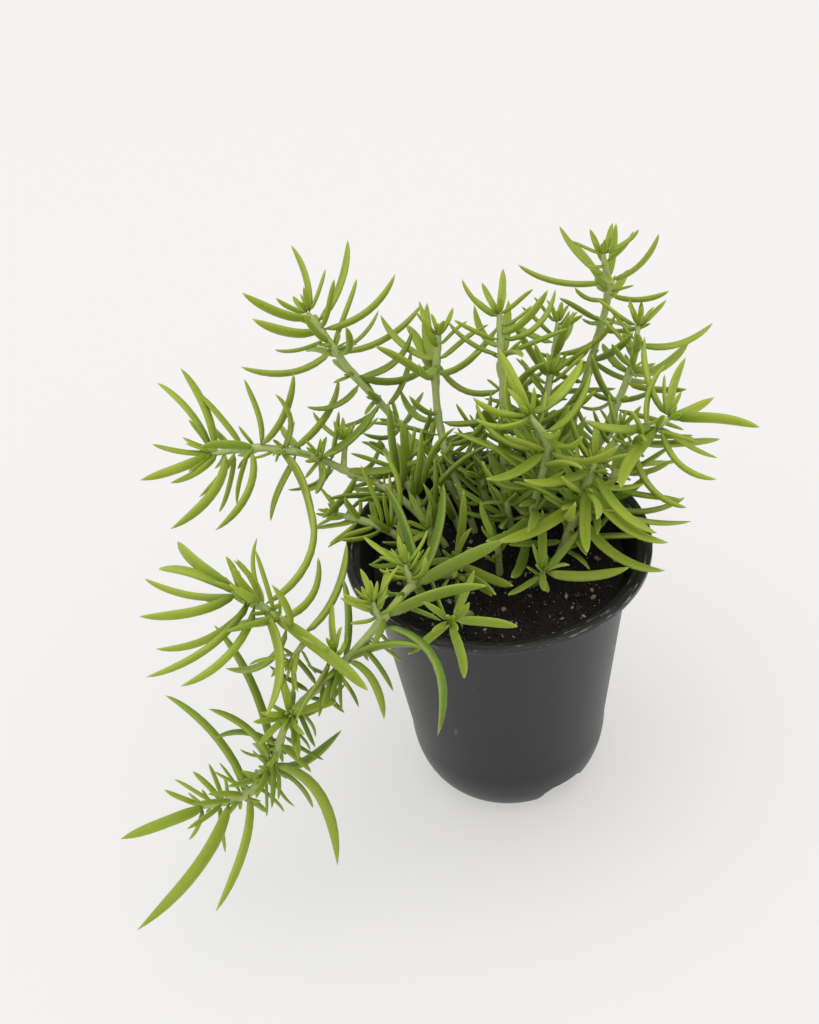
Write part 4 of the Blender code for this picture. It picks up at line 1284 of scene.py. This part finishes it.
def leaf_material():
    material, wires, inputs = new_material(
        "sedum_leaf_flesh", IOR=1.38, Subsurface_Weight=0.08, Subsurface_Radius=(0.5, 1.0, 0.15),
        Subsurface_Scale=FLESH_SCALE)
    along, across, above, youth_and_light, tint = (
        wires.add("ShaderNodeAttribute", {"attribute_name": name}, {}, "Fac")
        for name in ("along", "across", "above", "youth_and_light", "tint"))
    across = wires.math("ABSOLUTE", across)
    mottle = wires.ease(noise_of(wires, 420, 3), 0.45, 0.7)
    fine = noise_of(wires, 2400, 2)
    margin = wires.ease(across, 0.66, 0.98)
    # Painted shade: the groove along the middle of the upper side is coloured darker
    groove = wires.ease(across, 0.34, 0.02) * wires.ease(above, 0.0, 0.3) * wires.ease(along, 0.98, 0.7)
    young_and_lit = wires.ease(youth_and_light, 0.72, 0.9)
    root = wires.ease(along, 0.2, 0.02) * (1 - young_and_lit)
    # Painted shade: a young leaf's lower half is coloured deep green where it crowds round its bud
    painted_root_shade = wires.ease(along, 0.55, 0.08) * young_and_lit
    point = wires.ease(along, 0.93, 0.99)
    papillae = wires.ease(noise_of(wires, 3400, 2), 0.56, 0.68) * (0.35 + margin * 0.65)
    wires.put(inputs["Base Color"], wires.coated(
        # old leaves, and as painted shade the leaves of the shaded stems, take the darker green
        wires.mix(youth_and_light, (0.125, 0.215, 0.02), (0.375, 0.47, 0.036)),
        (tint * 0.4, (0.425, 0.475, 0.045)),
        (mottle * 0.25, (0.22, 0.335, 0.018)),
        (margin * 0.35, (0.5, 0.6, 0.12)),
        # the painted shade in the groove
        (groove * 0.22, (0.1, 0.185, 0.022)),
        (root * 0.5, (0.5, 0.58, 0.16)),
        # the painted shade at a young leaf's root
        (painted_root_shade * 0.6, (0.1, 0.2, 0.015)),
        (point * 0.5, (0.6, 0.62, 0.2)),
        (papillae * 0.32, (0.55, 0.62, 0.24))))
    wires.put(inputs["Roughness"], 0.47 + fine * 0.12)
    bump(wires, inputs, fine + papillae * 0.6, 0.00004, 0.7)
    return material


leaf_flesh = leaf_material()
print("leaf material:", leaf_flesh.name)

# %% Stem skin
WOODY_FROM = (82, 71)  # mm up, where a stem's foot turns brown on its way down
WOODY_TO = (60, 70)  # and where it is no longer seen


def stem_material():
    material, wires, inputs = new_material(
        "sedum_stem_skin", IOR=1.42, Subsurface_Weight=0.12, Subsurface_Radius=(0.6, 1.0, 0.25),
        Subsurface_Scale=FLESH_SCALE)
    _, _, height = wires.split_axes(wires.add("ShaderNodeTexCoord", output="Object"))
    streaks = noise_of(wires, 900, 3)
    woody = [wires.ease(height, start * MM, end * MM) for start, end in (WOODY_FROM, WOODY_TO)]
    wires.put(inputs["Base Color"], wires.coated(
        wires.mix(streaks, (0.36, 0.45, 0.12), (0.58, 0.64, 0.27)),
        (woody[0] * woody[1] * 0.6, (0.22, 0.2, 0.08))))
    wires.put(inputs["Roughness"], 0.48 + streaks * 0.1)
    bump(wires, inputs, streaks, 0.0001, 0.7)
    return material


stem_skin = stem_material()
print("stem material:", stem_skin.name)

# %% The plan of one stem
STEM_TIP_RADIUS = 0.6
STEM_TAPER = 9  # mm from the tip to where a stem has its full radius
STEM_STEP = 1.2  # mm between the stem's points
LEAST_PIECES = 6  # of a very short one
KNOTS_FROM = 3  # mm back from the tip
KNOT_LENGTH = 1.3  # mm
KNOT_SWELLING = 0.22  # how much thicker a stem is where leaves join it
FULLNESS = 1.06  # how much wider a round blade is than the solid's
SWAY = 0.04  # how far a leaf bends sideways, over its length
CURL = 0.4  # how far a leaf's end curls one way, over its length
CURL_BACK = 0.4  # and how much of that it may curl the other way
ROLL = 24  # degrees that a blade is rolled about its own length
YOUNG_TO = 34  # mm back from the tip, where leaves are old
YOUTH_SPREAD = (0.8, 1.0)
SMALL_LEAF_BACK = 2  # a small leaf is as young as one that grows this near to the tip
PAINTED_SHADES = {"inner": 0.75, "soil_right": 0.75, "front_rim": 0.55, "front_low": 0.6}  # painted shade: how much darker, as if older, these stems' leaves are coloured


def add_stem(points, edges, rows, shoot):
    """The stem's points from its foot to its tip, with its thickness at each."""
    line = lines[shoot.name]
    total = length_of(line)
    count = max(LEAST_PIECES, round(total / STEM_STEP))
    knots = [row.back for row in leaves[shoot.name] if row.back > KNOTS_FROM]
    for i in range(count + 1):
        back = total * (1 - i / count)
        radius = STEM_TIP_RADIUS + (STEM_RADIUS - STEM_TIP_RADIUS) * min(1, back / STEM_TAPER)
        nearest = min([abs(back - knot) for knot in knots], default=math.inf)
        radius *= 1 + KNOT_SWELLING * math.exp(-(nearest / KNOT_LENGTH) ** 2)
        if i:
            edges.append((len(points) - 1, len(points)))
        points.append(point_back(line, back) * MM)
        rows.append(dict(thickness=radius * MM))


def add_leaf(points, rows, shoot, grown_leaf, draw):
    """A loose point that carries one leaf's shape, age and tint."""
    leaf, back, sway = grown_leaf
    reach = leaf.tip - leaf.root
    sideways = reach.cross(leaf.facing) * draw.uniform(-SWAY, SWAY) * sway
    roll = Quaternion(reach.normalized(), math.radians(draw.uniform(-ROLL, ROLL)))
    youth_and_light = max(0.0, 1 - back / YOUNG_TO) * draw.uniform(*YOUTH_SPREAD)
    # Painted shade: the leaves of the stems listed as shaded are coloured darker, as if they were older
    for start, shade in PAINTED_SHADES.items():
        if shoot.node.startswith(start):
            youth_and_light *= 1 - shade
    points.append(leaf.root * MM)
    curl = draw.uniform(-CURL, CURL_BACK * CURL) * sway * reach.length
    rows.append(dict(
        is_leaf=1.0, root=leaf.root * MM, reach=reach * MM, bow=(leaf.bow + sideways) * MM,
        facing=roll @ leaf.facing, half_width=leaf.half_width * FULLNESS * MM, curl=curl * MM,
        youth_and_light=youth_and_light, tint=draw.random()))


def plan_mesh(node, draw):
    """The growth plan of one stem with its branches and leaves."""
    points, edges, rows = [], [], []
    for shoot in [shoot for shoot in SHOOTS if shoot.node == node]:
        add_stem(points, edges, rows, shoot)
        for grown_leaf in leaves[shoot.name] + filling[shoot.name]:
            add_leaf(points, rows, shoot, grown_leaf, draw)
        for leaf in small_leaves[shoot.name]:
            add_leaf(points, rows, shoot, Grown(leaf, SMALL_LEAF_BACK, 1.0), draw)
    mesh = bpy.data.meshes.new(node)
    mesh.from_pydata(points, edges, [])
    for name in ("is_leaf", "half_width", "curl", "youth_and_light", "tint", "thickness"):
        column = mesh.attributes.new(name, "FLOAT", "POINT")
        column.data.foreach_set("value", [row.get(name, 0.0) for row in rows])
    for name in ("root", "reach", "bow", "facing"):
        column = mesh.attributes.new(name, "FLOAT_VECTOR", "POINT")
        flat = [value for row in rows for value in row.get(name, (0, 0, 0))]
        column.data.foreach_set("vector", flat)
    return mesh


print("shaded stems:", ", ".join(PAINTED_SHADES))

# %% Growing every leafy stem
KEPT = {"material_index", "along", "across", "above", "youth_and_light", "tint"}  # what the finish needs
draw = random.Random(SEED + 1)
for node in dict.fromkeys(shoot.node for shoot in SHOOTS):
    sprig = grown(node.replace("_stem", "_sprig"), plan_mesh(node, draw), stem_growth, {
        "Leaf material": leaf_flesh, "Stem material": stem_skin})
    for attribute in [a.name for a in sprig.data.attributes]:
        column = sprig.data.attributes[attribute]
        if attribute not in KEPT and not column.is_internal and not column.is_required:
            sprig.data.attributes.remove(column)
    sprig.data.shade_smooth()
    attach(sprig, "root")
    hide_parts(node)
    print(sprig.name, len(sprig.data.polygons), "faces")
